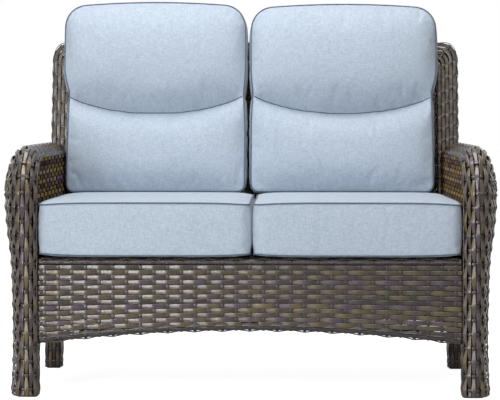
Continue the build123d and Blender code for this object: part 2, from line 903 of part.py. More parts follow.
# Woven rear apron between the rear legs, sloped like them
rear_half = (
    arm_inner_half
    + (leg_width_at(apron_bottom_end) - rear_leg_size) * cos(splay)
    - rear_leg_front_at(apron_bottom_end) * sin(splay)
    - soft_clearance
)
leg_lean = (deck_height**2 + rear_leg_splay**2) ** 0.5
rear_plane = Plane(
    origin=(0, rear_leg_top_y + rear_leg_size / 2, deck_height - weave_thickness - seat_gap),
    x_dir=(1, 0, 0),
    z_dir=(0, -deck_height / leg_lean, -rear_leg_splay / leg_lean),
)
slope_cos = deck_height / leg_lean
rear_top = -bracket_thickness - seat_gap
rear_low_end = (apron_bottom_end - deck_height) / slope_cos
rear_low_mid = (apron_bottom_middle - deck_height) / slope_cos
with BuildPart() as rear_apron:
    with BuildSketch(rear_plane):
        with BuildLine():
            Line((-rear_half, rear_top), (rear_half, rear_top))
            Line((rear_half, rear_top), (rear_half, rear_low_end))
            ThreePointArc((rear_half, rear_low_end), (0, rear_low_mid), (-rear_half, rear_low_end))
            Line((-rear_half, rear_low_end), (-rear_half, rear_top))
        make_face()
    extrude(amount=-weave_thickness)
write(rear_apron, "rear_apron")

with BuildPart() as rear_apron_rail:
    with BuildLine(rear_plane.offset(brace_radius + seat_gap)) as rear_path:
        ThreePointArc(
            (-rear_half, rear_low_end + rail_radius),
            (0, rear_low_mid + rail_radius),
            (rear_half, rear_low_end + rail_radius),
        )
    run_along(rear_path.line, lambda: Circle(brace_radius))
write(rear_apron_rail, "rear_apron_rail")

# Bolts through the seat's side rails into the bars of the arms
bolt_reach = 2 * rail_radius + 2 * seat_gap + weave_thickness + mount_bar_thickness
with BuildPart() as seat_bolts:
    with BuildSketch(side_plane(-2 * rail_radius - seat_gap)):
        with Locations(*[(place, rail_height) for place in bolt_places]):
            Circle(bolt_radius - seat_gap)
    extrude(amount=bolt_reach)
    with BuildSketch(side_plane(-2 * rail_radius - seat_gap)):
        with Locations(*[(place, rail_height) for place in bolt_places]):
            RegularPolygon(bolt_head_radius, 6)
    extrude(amount=-bolt_head_height)
    mirror(about=Plane.YZ)
write(seat_bolts, "seat_bolts")

# Seat cushions
zipper_length = zipper_length_share * inner_face_x(back_foot_y)
cushion_bottom = deck_height + soft_clearance
cushion_front_y = front_edge_y - seat_cushion_overhang
cushion_rear_y = back_foot_y - cushion_side_clearance
cushion_top = seat_top
seat_station_shares = (0.0, 0.1, 0.3, 0.5, 0.7, 0.9, 1.0)


def seat_crown_at(share):
    # Crown of the top, highest at the middle of the cushion
    swell = 1 - (2 * share - 1) ** 2
    return seat_cushion_end_crown + (seat_cushion_crown - seat_cushion_end_crown) * swell


def seat_edges(side):
    # Inner edge, and the outer edge at the front and at the back
    inner_edge = seat_split + side * cushion_split_gap / 2
    outer_front = side * (inner_face_x(front_edge_y) - cushion_side_clearance)
    outer_rear = side * (inner_face_x(cushion_rear_y) - cushion_side_clearance)
    return inner_edge, outer_front, outer_rear


def zipper_plane(origin, tilt_angle):
    # x along the zipper, y up, normal out of the cushion's rear
    return Plane(
        origin=origin, x_dir=(-1, 0, 0), z_dir=(0, cos(tilt_angle), -sin(tilt_angle))
    )


def make_zipper(plane, name):
    # Tape and teeth at the bottom of the groove
    with BuildPart() as zipper:
        with BuildSketch(plane.offset(-zipper_groove_depth + seat_gap)):
            Rectangle(zipper_length - 2 * seat_gap, zipper_groove_height - 2 * seat_gap)
        extrude(amount=zipper_tape_thickness)
        with BuildSketch(plane.offset(-zipper_groove_depth + seat_gap + zipper_tape_thickness)):
            Rectangle(zipper_length - 2 * seat_gap, zipper_teeth_height)
        extrude(amount=zipper_teeth_thickness)
    write(zipper, f"{name}_zipper")
    # Slider with its pull, over the teeth and inside the groove
    slider_base = (
        -zipper_groove_depth + seat_gap + zipper_tape_thickness + zipper_teeth_thickness + slider_gap
    )
    with BuildPart() as slider:
        with BuildSketch(plane.offset(slider_base)):
            RectangleRounded(slider_length, slider_height, slider_height / 4)
        extrude(amount=slider_thickness - pull_thickness)
        with BuildSketch(plane.offset(slider_base + slider_thickness - pull_thickness)):
            with Locations((pull_length / 2 - slider_length / 4, 0)):
                SlotOverall(pull_length, pull_height)
        extrude(amount=pull_thickness)
    write(slider, f"{name}_slider")


for side, side_name in ((-1, "left"), (1, "right")):
    inner_edge, outer_front, outer_rear = seat_edges(side)
    zip_place = zipper_plane(
        ((inner_edge + outer_rear) / 2, cushion_rear_y, (cushion_bottom + cushion_top) / 2), 0
    )
    low_corner = min(inner_edge, outer_front)
    cushion_run = abs(outer_front - inner_edge)
    core_low = min(inner_edge, outer_rear) + foam_inset
    core_high = max(inner_edge, outer_rear) - foam_inset
    core_front = cushion_front_y + foam_inset
    core_rear = cushion_rear_y - foam_inset
    core_bottom = cushion_bottom + foam_inset / 2
    core_top = cushion_top - foam_inset / 2
    core_centre = (
        (core_low + core_high) / 2,
        (core_front + core_rear) / 2,
        (core_bottom + core_top) / 2,
    )
    with BuildPart() as seat_cover:
        for station in seat_station_shares:
            bulge = seat_cushion_bulge * (1 - (2 * station - 1) ** 4) + soft_clearance
            crown_top = cushion_top + seat_crown_at(station)
            mid_y = (cushion_front_y + cushion_rear_y) / 2
            mid_z = (cushion_bottom + cushion_top) / 2
            with BuildSketch(Plane.YZ.offset(low_corner + station * cushion_run)):
                with BuildLine():
                    Line((cushion_rear_y, cushion_bottom), (cushion_front_y, cushion_bottom))
                    ThreePointArc(
                        (cushion_front_y, cushion_bottom),
                        (cushion_front_y - bulge, mid_z),
                        (cushion_front_y, cushion_top),
                    )
                    ThreePointArc(
                        (cushion_front_y, cushion_top),
                        (mid_y, crown_top),
                        (cushion_rear_y, cushion_top),
                    )
                    Line((cushion_rear_y, cushion_top), (cushion_rear_y, cushion_bottom))
                make_face()
        loft()
        outline_front = cushion_front_y - 2 * seat_cushion_bulge
        with BuildSketch(Plane.XY):
            draw = side * seat_cushion_draw
            mid_outline_y = (outline_front + cushion_rear_y) / 2
            with BuildLine():
                Line((inner_edge, outline_front), (outer_front, outline_front))
                ThreePointArc(
                    (outer_front, outline_front),
                    ((outer_front + outer_rear) / 2 - draw, mid_outline_y),
                    (outer_rear, cushion_rear_y),
                )
                Line((outer_rear, cushion_rear_y), (inner_edge, cushion_rear_y))
                ThreePointArc(
                    (inner_edge, cushion_rear_y),
                    (inner_edge + draw, mid_outline_y),
                    (inner_edge, outline_front),
                )
            make_face()
            fillet(vertices().group_by(Axis.Y)[0], seat_cushion_corner)
        extrude(amount=overall_width, mode=Mode.INTERSECT)
        with Locations(core_centre):
            Box(
                core_high - core_low,
                core_rear - core_front,
                core_top - core_bottom,
                mode=Mode.SUBTRACT,
            )
        with BuildSketch(zip_place):
            Rectangle(zipper_length, zipper_groove_height)
        extrude(amount=-zipper_groove_depth, mode=Mode.SUBTRACT)
    write(seat_cover, f"seat_cover_{side_name}")
    with BuildPart() as seat_foam:
        with Locations(core_centre):
            Box(
                core_high - core_low - 2 * foam_clearance,
                core_rear - core_front - 2 * foam_clearance,
                core_top - core_bottom - 2 * foam_clearance,
            )
    write(seat_foam, f"seat_foam_{side_name}")
    make_zipper(zip_place, f"seat_{side_name}")

# Back cushions
back_seat_clearance = seat_top + seat_cushion_crown + soft_clearance


def back_point(up, forward):
    # A place on the side view of the back, as (y, z)
    return (
        back_foot_y + up * sin(tilt) - forward * cos(tilt),
        deck_height + up * cos(tilt) + forward * sin(tilt),
    )


def up_at(height, forward):
    # Distance up the back of a point at a height and a distance forwards
    return (height - deck_height - forward * sin(tilt)) / cos(tilt)


cushion_low_up = up_at(back_seat_clearance, 0)
cushion_high_up = cushion_low_up + back_cushion_height
smile_end_up = cushion_low_up + smile_height + smile_rise
back_station_shares = (-1.02, 0.0, 1.02)
lower_side_share = 0.25
seat_half_at_back = inner_face_x(back_foot_y)
back_cushion_width = 2 * back_cushion_width_share * seat_half_at_back
cushion_half = back_cushion_width / 2
left_centre = back_cushion_left_gap + cushion_half - seat_half_at_back
right_centre = left_centre + back_cushion_width + back_cushion_split_gap


def smile_up_at(share):
    # The sewn channel hangs low at the middle and runs level to the sides
    return smile_end_up - smile_rise * (1 - share**2)


def back_section(share):
    # Rear, bottom, lower pillow, head pillow and top edge, seen from the side
    fullness = 1 - share**2
    edge = back_cushion_edge
    crease_up = smile_up_at(share)
    crease = edge - back_cushion_crease * fullness
    bottom_rear = back_point(cushion_low_up, soft_clearance)
    bottom_front = back_point(up_at(back_seat_clearance, edge), edge)
    lower_mid = back_point(
        (cushion_low_up + crease_up) / 2, edge + soft_clearance + back_cushion_lower_bulge * fullness
    )
    crease_point = back_point(crease_up, crease)
    head_mid = back_point(
        (crease_up + cushion_high_up) / 2,
        edge + soft_clearance + back_cushion_head_bulge * fullness,
    )
    top_front = back_point(cushion_high_up, edge)
    top_swell = back_cushion_top_end_bulge + back_cushion_top_bulge * fullness
    top_mid = back_point(cushion_high_up + top_swell, edge / 2)
    top_rear = back_point(cushion_high_up, soft_clearance)
    with BuildLine() as outline:
        Line(bottom_rear, bottom_front)
        ThreePointArc(bottom_front, lower_mid, crease_point)
        ThreePointArc(crease_point, head_mid, top_front)
        ThreePointArc(top_front, top_mid, top_rear)
        Line(top_rear, bottom_rear)
    make_face(outline.edges())


def back_outline():
    # The cushion seen square to the back: waisted sides and rounded top corners
    low = cushion_low_up - cut_overrun
    waist_half = cushion_half - back_cushion_waist
    lower_half = cushion_half - back_cushion_waist / 2
    shoulder_up = cushion_high_up - back_cushion_corner
    top_half = cushion_half - back_cushion_corner
    lower_mid_up = cushion_low_up + lower_side_share * back_cushion_height
    head_mid_up = (smile_end_up + shoulder_up) / 2
    diagonal = back_cushion_corner * sin(radians(45))
    top_up = cushion_high_up + 3 * back_cushion_top_bulge
    with BuildLine() as outline:
        Line((-cushion_half, low), (cushion_half, low))
        ThreePointArc((cushion_half, low), (lower_half, lower_mid_up), (waist_half, smile_end_up))
        ThreePointArc(
            (waist_half, smile_end_up), (cushion_half, head_mid_up), (cushion_half, shoulder_up)
        )
        ThreePointArc(
            (cushion_half, shoulder_up),
            (top_half + diagonal, shoulder_up + diagonal),
            (top_half, cushion_high_up),
        )
        ThreePointArc((top_half, cushion_high_up), (0, top_up), (-top_half, cushion_high_up))
        ThreePointArc(
            (-top_half, cushion_high_up),
            (-top_half - diagonal, shoulder_up + diagonal),
            (-cushion_half, shoulder_up),
        )
        ThreePointArc(
            (-cushion_half, shoulder_up), (-cushion_half, head_mid_up), (-waist_half, smile_end_up)
        )
        ThreePointArc((-waist_half, smile_end_up), (-lower_half, lower_mid_up), (-cushion_half, low))
    make_face(outline.edges())


# The two pads of fill: below the sewn channel and above it
fill_rear = soft_clearance + foam_inset / 2 + zipper_groove_depth
fill_front = back_cushion_edge - back_cushion_crease - foam_inset / 2
fill_bounds = (
    (cushion_low_up + foam_inset, smile_up_at(0) - foam_inset / 2),
    (smile_end_up + foam_inset / 2, cushion_high_up - foam_inset),
)
fill_half = cushion_half - foam_inset - back_cushion_waist


def add_fill(clearance, mode):
    for low_up, high_up in fill_bounds:
        with BuildSketch(back_plane.offset(fill_rear + clearance)) as pad:
            with Locations((0, (low_up + high_up) / 2)):
                Rectangle(2 * (fill_half - clearance), high_up - low_up - 2 * clearance)
        extrude(pad.sketch, amount=fill_front - fill_rear - 2 * clearance, mode=mode)


for centre_x, side_name in ((left_centre, "left"), (right_centre, "right")):
    zip_up = cushion_low_up + zipper_rise
    with BuildPart() as back_cover_middle:
        for station in back_station_shares:
            with BuildSketch(Plane.YZ.offset(station * cushion_half)):
                back_section(station)
        loft()
        with BuildSketch(back_plane):
            back_outline()
        extrude(amount=overall_depth, mode=Mode.INTERSECT)
        add_fill(0, Mode.SUBTRACT)
        zip_origin = back_plane.from_local_coords((0, zip_up, soft_clearance))
        with BuildSketch(zipper_plane(zip_origin, tilt)):
            Rectangle(zipper_length, zipper_groove_height)
        extrude(amount=-zipper_groove_depth, mode=Mode.SUBTRACT)
    with BuildPart() as back_cover:
        with Locations((centre_x, 0, 0)):
            add(back_cover_middle.part)
    write(back_cover, f"back_cover_{side_name}")
    with BuildPart() as back_fill_middle:
        add_fill(foam_clearance, Mode.ADD)
    with BuildPart() as back_fill:
        with Locations((centre_x, 0, 0)):
            add(back_fill_middle.part)
    write(back_fill, f"back_fill_{side_name}")
    zip_origin = back_plane.from_local_coords((centre_x, zip_up, soft_clearance))
    make_zipper(zipper_plane(zip_origin, tilt), f"back_{side_name}")
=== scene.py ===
import math
import bpy
import numpy as np
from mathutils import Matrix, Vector, bvhtree, kdtree

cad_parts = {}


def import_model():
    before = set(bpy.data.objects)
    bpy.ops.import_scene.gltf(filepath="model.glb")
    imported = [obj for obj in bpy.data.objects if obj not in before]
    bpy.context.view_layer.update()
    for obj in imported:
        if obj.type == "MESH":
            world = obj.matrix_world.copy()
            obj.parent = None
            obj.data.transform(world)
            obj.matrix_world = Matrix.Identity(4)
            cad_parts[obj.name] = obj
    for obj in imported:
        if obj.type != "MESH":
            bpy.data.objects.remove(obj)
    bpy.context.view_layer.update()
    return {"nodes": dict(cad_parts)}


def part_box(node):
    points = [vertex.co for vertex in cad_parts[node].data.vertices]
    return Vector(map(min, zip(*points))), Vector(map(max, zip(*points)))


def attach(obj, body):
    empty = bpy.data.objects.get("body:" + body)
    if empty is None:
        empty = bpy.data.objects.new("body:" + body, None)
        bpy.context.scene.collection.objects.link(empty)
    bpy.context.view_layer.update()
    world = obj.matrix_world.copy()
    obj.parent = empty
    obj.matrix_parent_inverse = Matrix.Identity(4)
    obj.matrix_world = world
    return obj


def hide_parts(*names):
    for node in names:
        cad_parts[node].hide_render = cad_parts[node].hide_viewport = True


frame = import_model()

# Sizes in millimetres, the same as the frame's own
SPLAY = math.radians(2.0)
TILT = math.radians(12.0)
ARM_INNER_HALF = 568.02
FRONT_EDGE_Y = -360.66
ARM_WIDTH = 95.0
ARM_CROWN = 27.0
ARM_DROP = 85.0
ARM_RIM_HEIGHT = 640.0
ROLL_RADIUS = 105.0
ROLL_START = ARM_RIM_HEIGHT - ROLL_RADIUS
GLIDE_HEIGHT = 3.0
DECK_HEIGHT = 374.0
BACK_FOOT_Y = 219.30
BACK_LENGTH = 604.2
BACK_HALF = 598.02
BACK_THICKNESS = 42.0
BORDER_WIDTH = 65.0
BORDER_CORNER = 45.0
BORDER_INNER_CORNER = 15.0
LEG_DEPTH = 45.05
SLEEVE_TOP = 351.0
RAIL_HEIGHT = 361.0
WRAP_RADIUS = 13.0
FRONT_RAIL_Y = -345.66
APRON_FACE_Y = -358.66
APRON_HALF = 566.55
APRON_END = 142.0
APRON_MIDDLE = 178.0
RAIL_MID_Z = APRON_MIDDLE + WRAP_RADIUS
ARCH_RADIUS = 4476.0
REAR_LEG_SIZE = 46.0
REAR_LEG_TOP_Y = 217.3
REAR_LEG_FRONT = 578.3
REAR_LEG_SPLAY = 70.0
WEAVE = 3.0

# The weave: rows run one way, warps cross under and over them
ROW_PITCH = 13.4
WARP_PITCH = 37.0
BAND_PITCH = 12.2
ROW_THICKNESS = 2.0
WARP_THICKNESS = 1.8
WARP_WIDTH = 8.6
ROW_SWING = 2.6
BAND_SWING = 4.6
WARP_SWING = 0.6
BAND_THICKNESS = 3.0
BAND_TAPER = 0.10
BACKING_DEPTH = 3.0
BACKING_THICKNESS = 1.0
SHORTEST_STRAND = 9.0
WRAP_PITCH = 10.2

# Half widths of rows, as shares of their pitch
ROW_SHARE = 0.475
BACKING_SHARE = 0.51

# Width, crown and side drop of the leg, as shares of the arm's, by height
LEG_STATIONS = (
    (0.0, 0.783, 0.52, 0.53),
    (0.267, 0.728, 0.52, 0.53),
    (0.492, 0.75, 0.55, 0.59),
    (0.69, 0.804, 0.65, 0.71),
    (0.858, 0.94, 0.86, 0.88),
    (1.0, 1.0, 1.0, 1.0),
)
ARCH = (
    (0.0, 0.0, 0.0),
    (0.22, 0.7, 0.0),
    (0.47, 1.0, 0.0),
    (0.68, 0.6, 0.0),
    (0.83, -0.3, 0.0),
    (0.945, 0.0, -0.5),
    (1.0, 0.0, -1.0),
)

FORWARD = (0, -1, 0)
BACKWARD = (0, 1, 0)

SCENE = bpy.context.scene


# Camera

EYE = Vector((0.133, FRONT_EDGE_Y / 1000 - 6.0, 0.800))
AIM = Vector((0.0008, FRONT_EDGE_Y / 1000, 0.5285))
SENSOR_WIDTH = 36.0
LENS = 162.7


def make_camera():
    data = bpy.data.cameras.new("camera")
    camera = bpy.data.objects.new("camera", data)
    SCENE.collection.objects.link(camera)
    SCENE.camera = camera
    camera.location = EYE
    camera.rotation_euler = (AIM - EYE).to_track_quat("-Z", "Y").to_euler()
    data.sensor_width = SENSOR_WIDTH
    data.lens = LENS
    data.clip_end = 60.0


make_camera()


# Materials

def linear(r, g, b):
    """A colour given as 0 to 255 on screen, as linear light."""
    values = []
    for c in (r, g, b):
        c /= 255
        values.append(c / 12.92 if c <= 0.04045 else ((c + 0.055) / 1.055) ** 2.4)
    return (*values, 1.0)


def shaded(colour, factor, plus=0.0):
    return tuple(min(1.0, c * factor + plus) for c in colour[:3]) + (1.0,)


class Nodes:
    """The node tree of a material or world, with short calls."""

    def __init__(self, owner):
        owner.use_nodes = True
        self.owner = owner
        self.tree = owner.node_tree

    def add(self, kind, **values):
        node = self.tree.nodes.new(kind)
        for key, value in values.items():
            setattr(node, key, value)
        return node

    def link(self, source, target):
        self.tree.links.new(source, target)

    def combine(self, *parts):
        node = self.add("ShaderNodeCombineXYZ")
        for socket, part in zip(node.inputs, parts):
            self.link(part, socket)
        return node.outputs[0]

    def feed(self, socket, value):
        if hasattr(value, "links"):
            self.link(value, socket)
        else:
            socket.default_value = value

    def math(self, operation, a, b=0.0, clamp=False):
        node = self.add("ShaderNodeMath", operation=operation, use_clamp=clamp)
        self.feed(node.inputs[0], a)
        self.feed(node.inputs[1], b)
        return node.outputs[0]

    def total(self, first, *others):
        """The sum of values times weights, each given as a pair."""
        found = self.math("MULTIPLY", *first)
        for pair in others:
            found = self.math("ADD", found, self.math("MULTIPLY", *pair))
        return found

    def attribute(self, name):
        return self.add("ShaderNodeAttribute", attribute_name=name).outputs["Fac"]

    def coordinates(self, scale=(1, 1, 1)):
        node = self.add("ShaderNodeTexCoord")
        mapping = self.add("ShaderNodeMapping")
        mapping.inputs["Scale"].default_value = scale
        self.link(node.outputs["Object"], mapping.inputs["Vector"])
        return mapping.outputs[0]

    def noise(self, vector, scale, detail=2.0, rough=0.5):
        node = self.add("ShaderNodeTexNoise")
        self.link(vector, node.inputs["Vector"])
        node.inputs["Scale"].default_value = scale
        node.inputs["Detail"].default_value = detail
        node.inputs["Roughness"].default_value = rough
        return node.outputs["Fac"]

    def ramp(self, factor, stops):
        node = self.add("ShaderNodeValToRGB")
        elements = node.color_ramp.elements
        while len(elements) < len(stops):
            elements.new(0.5)
        for element, (place, colour) in zip(elements, stops):
            element.position = place
            element.color = colour
        self.link(factor, node.inputs[0])
        return node.outputs[0]

    def multiply(self, a, b):
        """The product of two colours."""
        node = self.add("ShaderNodeMix", data_type="RGBA", blend_type="MULTIPLY")
        node.inputs[0].default_value = 1.0
        self.link(a, node.inputs[6])
        self.link(b, node.inputs[7])
        return node.outputs[2]

    def span(self, value, low, high, to_low, to_high):
        node = self.add("ShaderNodeMapRange")
        self.link(value, node.inputs["Value"])
        for name, number in (
            ("From Min", low), ("From Max", high), ("To Min", to_low), ("To Max", to_high),
        ):
            node.inputs[name].default_value = number
        return node.outputs[0]

    def bump(self, height, strength, distance):
        node = self.add("ShaderNodeBump")
        node.inputs["Strength"].default_value = strength
        node.inputs["Distance"].default_value = distance
        self.link(height, node.inputs["Height"])
        return node.outputs[0]

    def finish(self, colour, roughness, normal, **constants):
        """Feeds the material's own shader; constants are set on its sockets."""
        sockets = self.tree.nodes["Principled BSDF"].inputs
        self.link(colour, sockets["Base Color"])
        self.feed(sockets["Roughness"], roughness)
        self.link(normal, sockets["Normal"])
        for name, value in constants.items():
            sockets[name.replace("_", " ")].default_value = value
        return self.owner


WICKER_TONES = (
    (0.0, linear(18, 13, 12)),
    (0.14, linear(34, 25, 26)),
    (0.28, linear(72, 61, 25)),
    (0.42, linear(52, 42, 39)),
    (0.56, linear(36, 27, 18)),
    (0.70, linear(60, 48, 66)),
    (0.84, linear(86, 75, 32)),
    (1.0, linear(74, 63, 60)),
)


def wicker_material(name, painted_shade=1.0, shift=0.0, tint_and_brightening=(1.0, 1.0, 1.0), gloss=0.5):
    """Resin strands: each has its own tone, streaks along it and fine ribs."""
    n = Nodes(bpy.data.materials.new(name))
    tone = n.attribute("tone")
    across = n.attribute("across")
    run = n.attribute("run")
    place = n.coordinates()
    drift = n.span(n.noise(place, 14.0, 2.0), 0.3, 0.7, -0.14 + shift, 0.14 + shift)
    base = n.ramp(n.math("ADD", tone, drift, clamp=True), WICKER_TONES)
    stretched = ((run, 0.02), (across, 2.2), (tone, 57.0))
    streak_place = n.combine(*(n.math("MULTIPLY", part, size) for part, size in stretched))
    streak = n.noise(streak_place, 2.4, 3.0, 0.6)
    # A factor below 1 here dims the whole material: painted shade.
    value = n.span(streak, 0.25, 0.75, 0.70 * painted_shade, 1.28 * painted_shade)
    # Painted shade: each strand darkens towards its edges, giving dark lines between the rows.
    edge = n.math("POWER", n.math("ABSOLUTE", across), 5.0)
    value = n.math("MULTIPLY", value, n.span(edge, 0.0, 1.0, 1.0, 0.45))
    # Painted shade: strands darken where their wave dips under a crossing, read from the depth
    # attribute.
    value = n.math("MULTIPLY", value, n.span(n.attribute("depth"), -1.0, 0.1, 0.35, 1.0))
    # These colour factors also set brightness; above 1 they are painted light.
    shade = n.combine(*(n.math("MULTIPLY", value, share) for share in tint_and_brightening))
    colour = n.multiply(base, shade)
    ribs = n.math("SINE", n.math("MULTIPLY", across, 9.4))
    normal = n.bump(n.total((ribs, 0.5), (streak, 1.2)), 0.3, 0.0006)
    roughness = n.span(streak, 0.2, 0.8, 0.22, 0.30)
    return n.finish(
        colour, roughness, normal, Specular_IOR_Level=gloss, Coat_Weight=gloss,
        Coat_Roughness=0.20, Coat_IOR=1.55, Specular_Tint=(1.0, 0.92, 0.88, 1.0),
        Coat_Tint=(1.0, 0.94, 0.9, 1.0),
    )


def fabric_material(name, light, dark, scale=1.0):
    """Heathered woven cloth: slubs both ways, fine yarns, a soft sheen."""
    n = Nodes(bpy.data.materials.new(name))
    weft = n.noise(n.coordinates((70, 620, 620)), scale, 3.0, 0.6)
    warp = n.noise(n.coordinates((620, 70, 70)), scale, 3.0, 0.6)
    fine = n.noise(n.coordinates((520, 520, 520)), 1.0, 3.0, 0.7)
    cloud = n.noise(n.coordinates((9, 9, 9)), 1.0, 2.0)
    cloud = n.math("SUBTRACT", cloud, 0.5)
    slub = n.total((weft, 0.34), (warp, 0.28), (fine, 0.38), (cloud, 0.04))
    colour = n.ramp(slub, ((0.36, dark), (0.66, light)))
    normal = n.bump(slub, 0.5, 0.0007)
    return n.finish(
        colour, 0.88, normal, Sheen_Weight=0.25, Sheen_Roughness=0.5, Specular_IOR_Level=0.25
    )


def cord_material(name, colour):
    """Piping: a cloth-covered cord with a slanting yarn."""
    n = Nodes(bpy.data.materials.new(name))
    fine = n.noise(n.coordinates((700, 700, 700)), 1.0, 2.0, 0.6)
    yarn = n.noise(n.coordinates((260, 260, 90)), 1.0, 2.0)
    mixed = n.total((fine, 0.6), (yarn, 0.4))
    shade = n.ramp(mixed, ((0.3, shaded(colour, 0.55)), (0.65, colour)))
    return n.finish(shade, 0.85, n.bump(mixed, 0.4, 0.0005), Sheen_Weight=0.2)


def hard_material(name, colour, roughness, metal, grain=120.0, wear=0.12):
    """Paint, plastic or bare metal with fine grain and slightly worn patches."""
    n = Nodes(bpy.data.materials.new(name))
    place = n.coordinates()
    speck = n.noise(place, grain, 3.0, 0.6)
    patch = n.noise(place, 9.0, 3.0, 0.55)
    light = shaded(colour, 1 + 2.5 * wear, 0.01)
    mixed = n.total((speck, 0.5), (patch, 0.5))
    shade = n.ramp(mixed, ((0.35, shaded(colour, 1 - wear)), (0.68, light)))
    rough = n.span(speck, 0.25, 0.75, roughness * 0.85, min(1.0, roughness * 1.2))
    return n.finish(shade, rough, n.bump(speck, 0.2, 0.0004), Metallic=metal)


def foam_material(name, colour):
    """Open-celled foam: small round pits, darkened inside as painted shade."""
    n = Nodes(bpy.data.materials.new(name))
    cells = n.add("ShaderNodeTexVoronoi")
    n.link(n.coordinates(), cells.inputs["Vector"])
    cells.inputs["Scale"].default_value = 420.0
    pits = cells.outputs["Distance"]
    # Painted shade: each pit is darker towards its middle.
    shade = n.ramp(pits, ((0.1, shaded(colour, 0.6)), (0.5, colour)))
    return n.finish(shade, 0.95, n.bump(pits, 0.6, 0.001))


WICKER = wicker_material("wicker")
# A dimmed copy shifted towards the dark tones: painted shade for the rail wraps and the deck under
# the cushions.
WICKER_SHADED = wicker_material("wicker_shaded", 0.62, -0.12)
# A brightened, purpler copy for the arms' inner panels: painted light lifting the shade they sit
# in.
WICKER_INNER_BRIGHTENED = wicker_material("wicker_inner_brightened", 1.0, 0.0, (2.8, 2.65, 3.5), 0.0)
FABRIC = fabric_material("fabric", linear(198, 209, 221), linear(142, 156, 172))
PIPING = cord_material("piping", linear(84, 102, 122))
STEEL = hard_material("steel", linear(62, 54, 48), 0.42, 0.6)
BOLT = hard_material("bolt", linear(168, 168, 166), 0.34, 1.0, 400.0)
GLIDE = hard_material("glide", linear(34, 33, 34), 0.55, 0.0, 260.0)
FOAM = foam_material("foam", linear(232, 226, 206))
FILL = fabric_material("fill_lining", linear(236, 238, 240), linear(208, 212, 216), 0.7)
ZIPPER = fabric_material("zipper_tape", linear(150, 166, 186), linear(96, 112, 132), 1.6)
SLIDER = hard_material("slider", linear(128, 132, 138), 0.32, 1.0, 300.0)


# Sheets: a surface as a grid of points, sampled smoothly

def unit(vectors):
    """The vectors at length one, along the last axis."""
    return vectors / np.maximum(np.linalg.norm(vectors, axis=-1, keepdims=True), 1e-9)


def running_length(line):
    """Distance along a line of points, at each point."""
    return np.concatenate([[0], np.cumsum(np.linalg.norm(np.diff(line, axis=0), axis=1))])


def resample(line, run, spots):
    """Points at distances along a line whose own points lie at the distances in run."""
    return np.stack([np.interp(spots, run, column) for column in line.T], 1)


def spread(x, y, z):
    """Points from x, y and z, numbers or arrays that are spread over each other."""
    return np.stack(np.broadcast_arrays(x, y, z), -1)


class Sheet:
    """A grid of points in mm over u (rows run along it) and v, with unit normals."""

    def __init__(self, grid, u_size, v_size, flip=False):
        self.grid = np.asarray(grid, float)
        self.u_size = u_size
        self.v_size = v_size
        normal = unit(np.cross(np.gradient(self.grid, axis=0), np.gradient(self.grid, axis=1)))
        self.normal = -normal if flip else normal

    def facing(self, direction, place=(0, 0)):
        """This sheet, its normals turned to the side a direction points to."""
        if np.dot(self.normal[place], direction) < 0:
            self.normal = -self.normal
        return self

    def at(self, u, v):
        """Points and normals at arrays u and v."""
        nu, nv = self.grid.shape[:2]
        a = np.clip(np.asarray(u, float) / self.u_size, 0, 1) * (nu - 1)
        b = np.clip(np.asarray(v, float) / self.v_size, 0, 1) * (nv - 1)
        i = np.minimum(a.astype(int), nu - 2)
        j = np.minimum(b.astype(int), nv - 2)
        s = (a - i)[:, None]
        t = (b - j)[:, None]
        found = []
        for field in (self.grid, self.normal):
            low = field[i, j] * (1 - s) + field[i + 1, j] * s
            high = field[i, j + 1] * (1 - s) + field[i + 1, j + 1] * s
            found.append(low * (1 - t) + high * t)
        return found[0], unit(found[1])


def plane_sheet(origin, u_axis, v_axis, u_size, v_size, flip=False):
    """A flat sheet from a corner and two directions."""
    origin, u_side, v_side = np.array(origin), np.array(u_axis) * u_size, np.array(v_axis) * v_size
    grid = [[origin + u_side * i + v_side * j for j in range(2)] for i in range(2)]
    return Sheet(grid, u_size, v_size, flip)


# Strands

SECTION = np.array([
    (-1.0, -0.1), (-0.9, 0.38), (-0.74, 0.48), (0.74, 0.48), (0.9, 0.38), (1.0, -0.1),
    (0.6, -0.45), (-0.6, -0.45),
])
ROUND = np.array([
    (math.cos(math.tau * k / 8), -math.sin(math.tau * k / 8)) for k in range(len(SECTION))
])


def new_mesh(name, points, faces, material):
    """A smooth-shaded mesh from points in metres."""
    mesh = bpy.data.meshes.new(name)
    mesh.from_pydata(points, [], faces)
    mesh.polygons.foreach_set("use_smooth", [True] * len(mesh.polygons))
    mesh.materials.append(material)
    return mesh


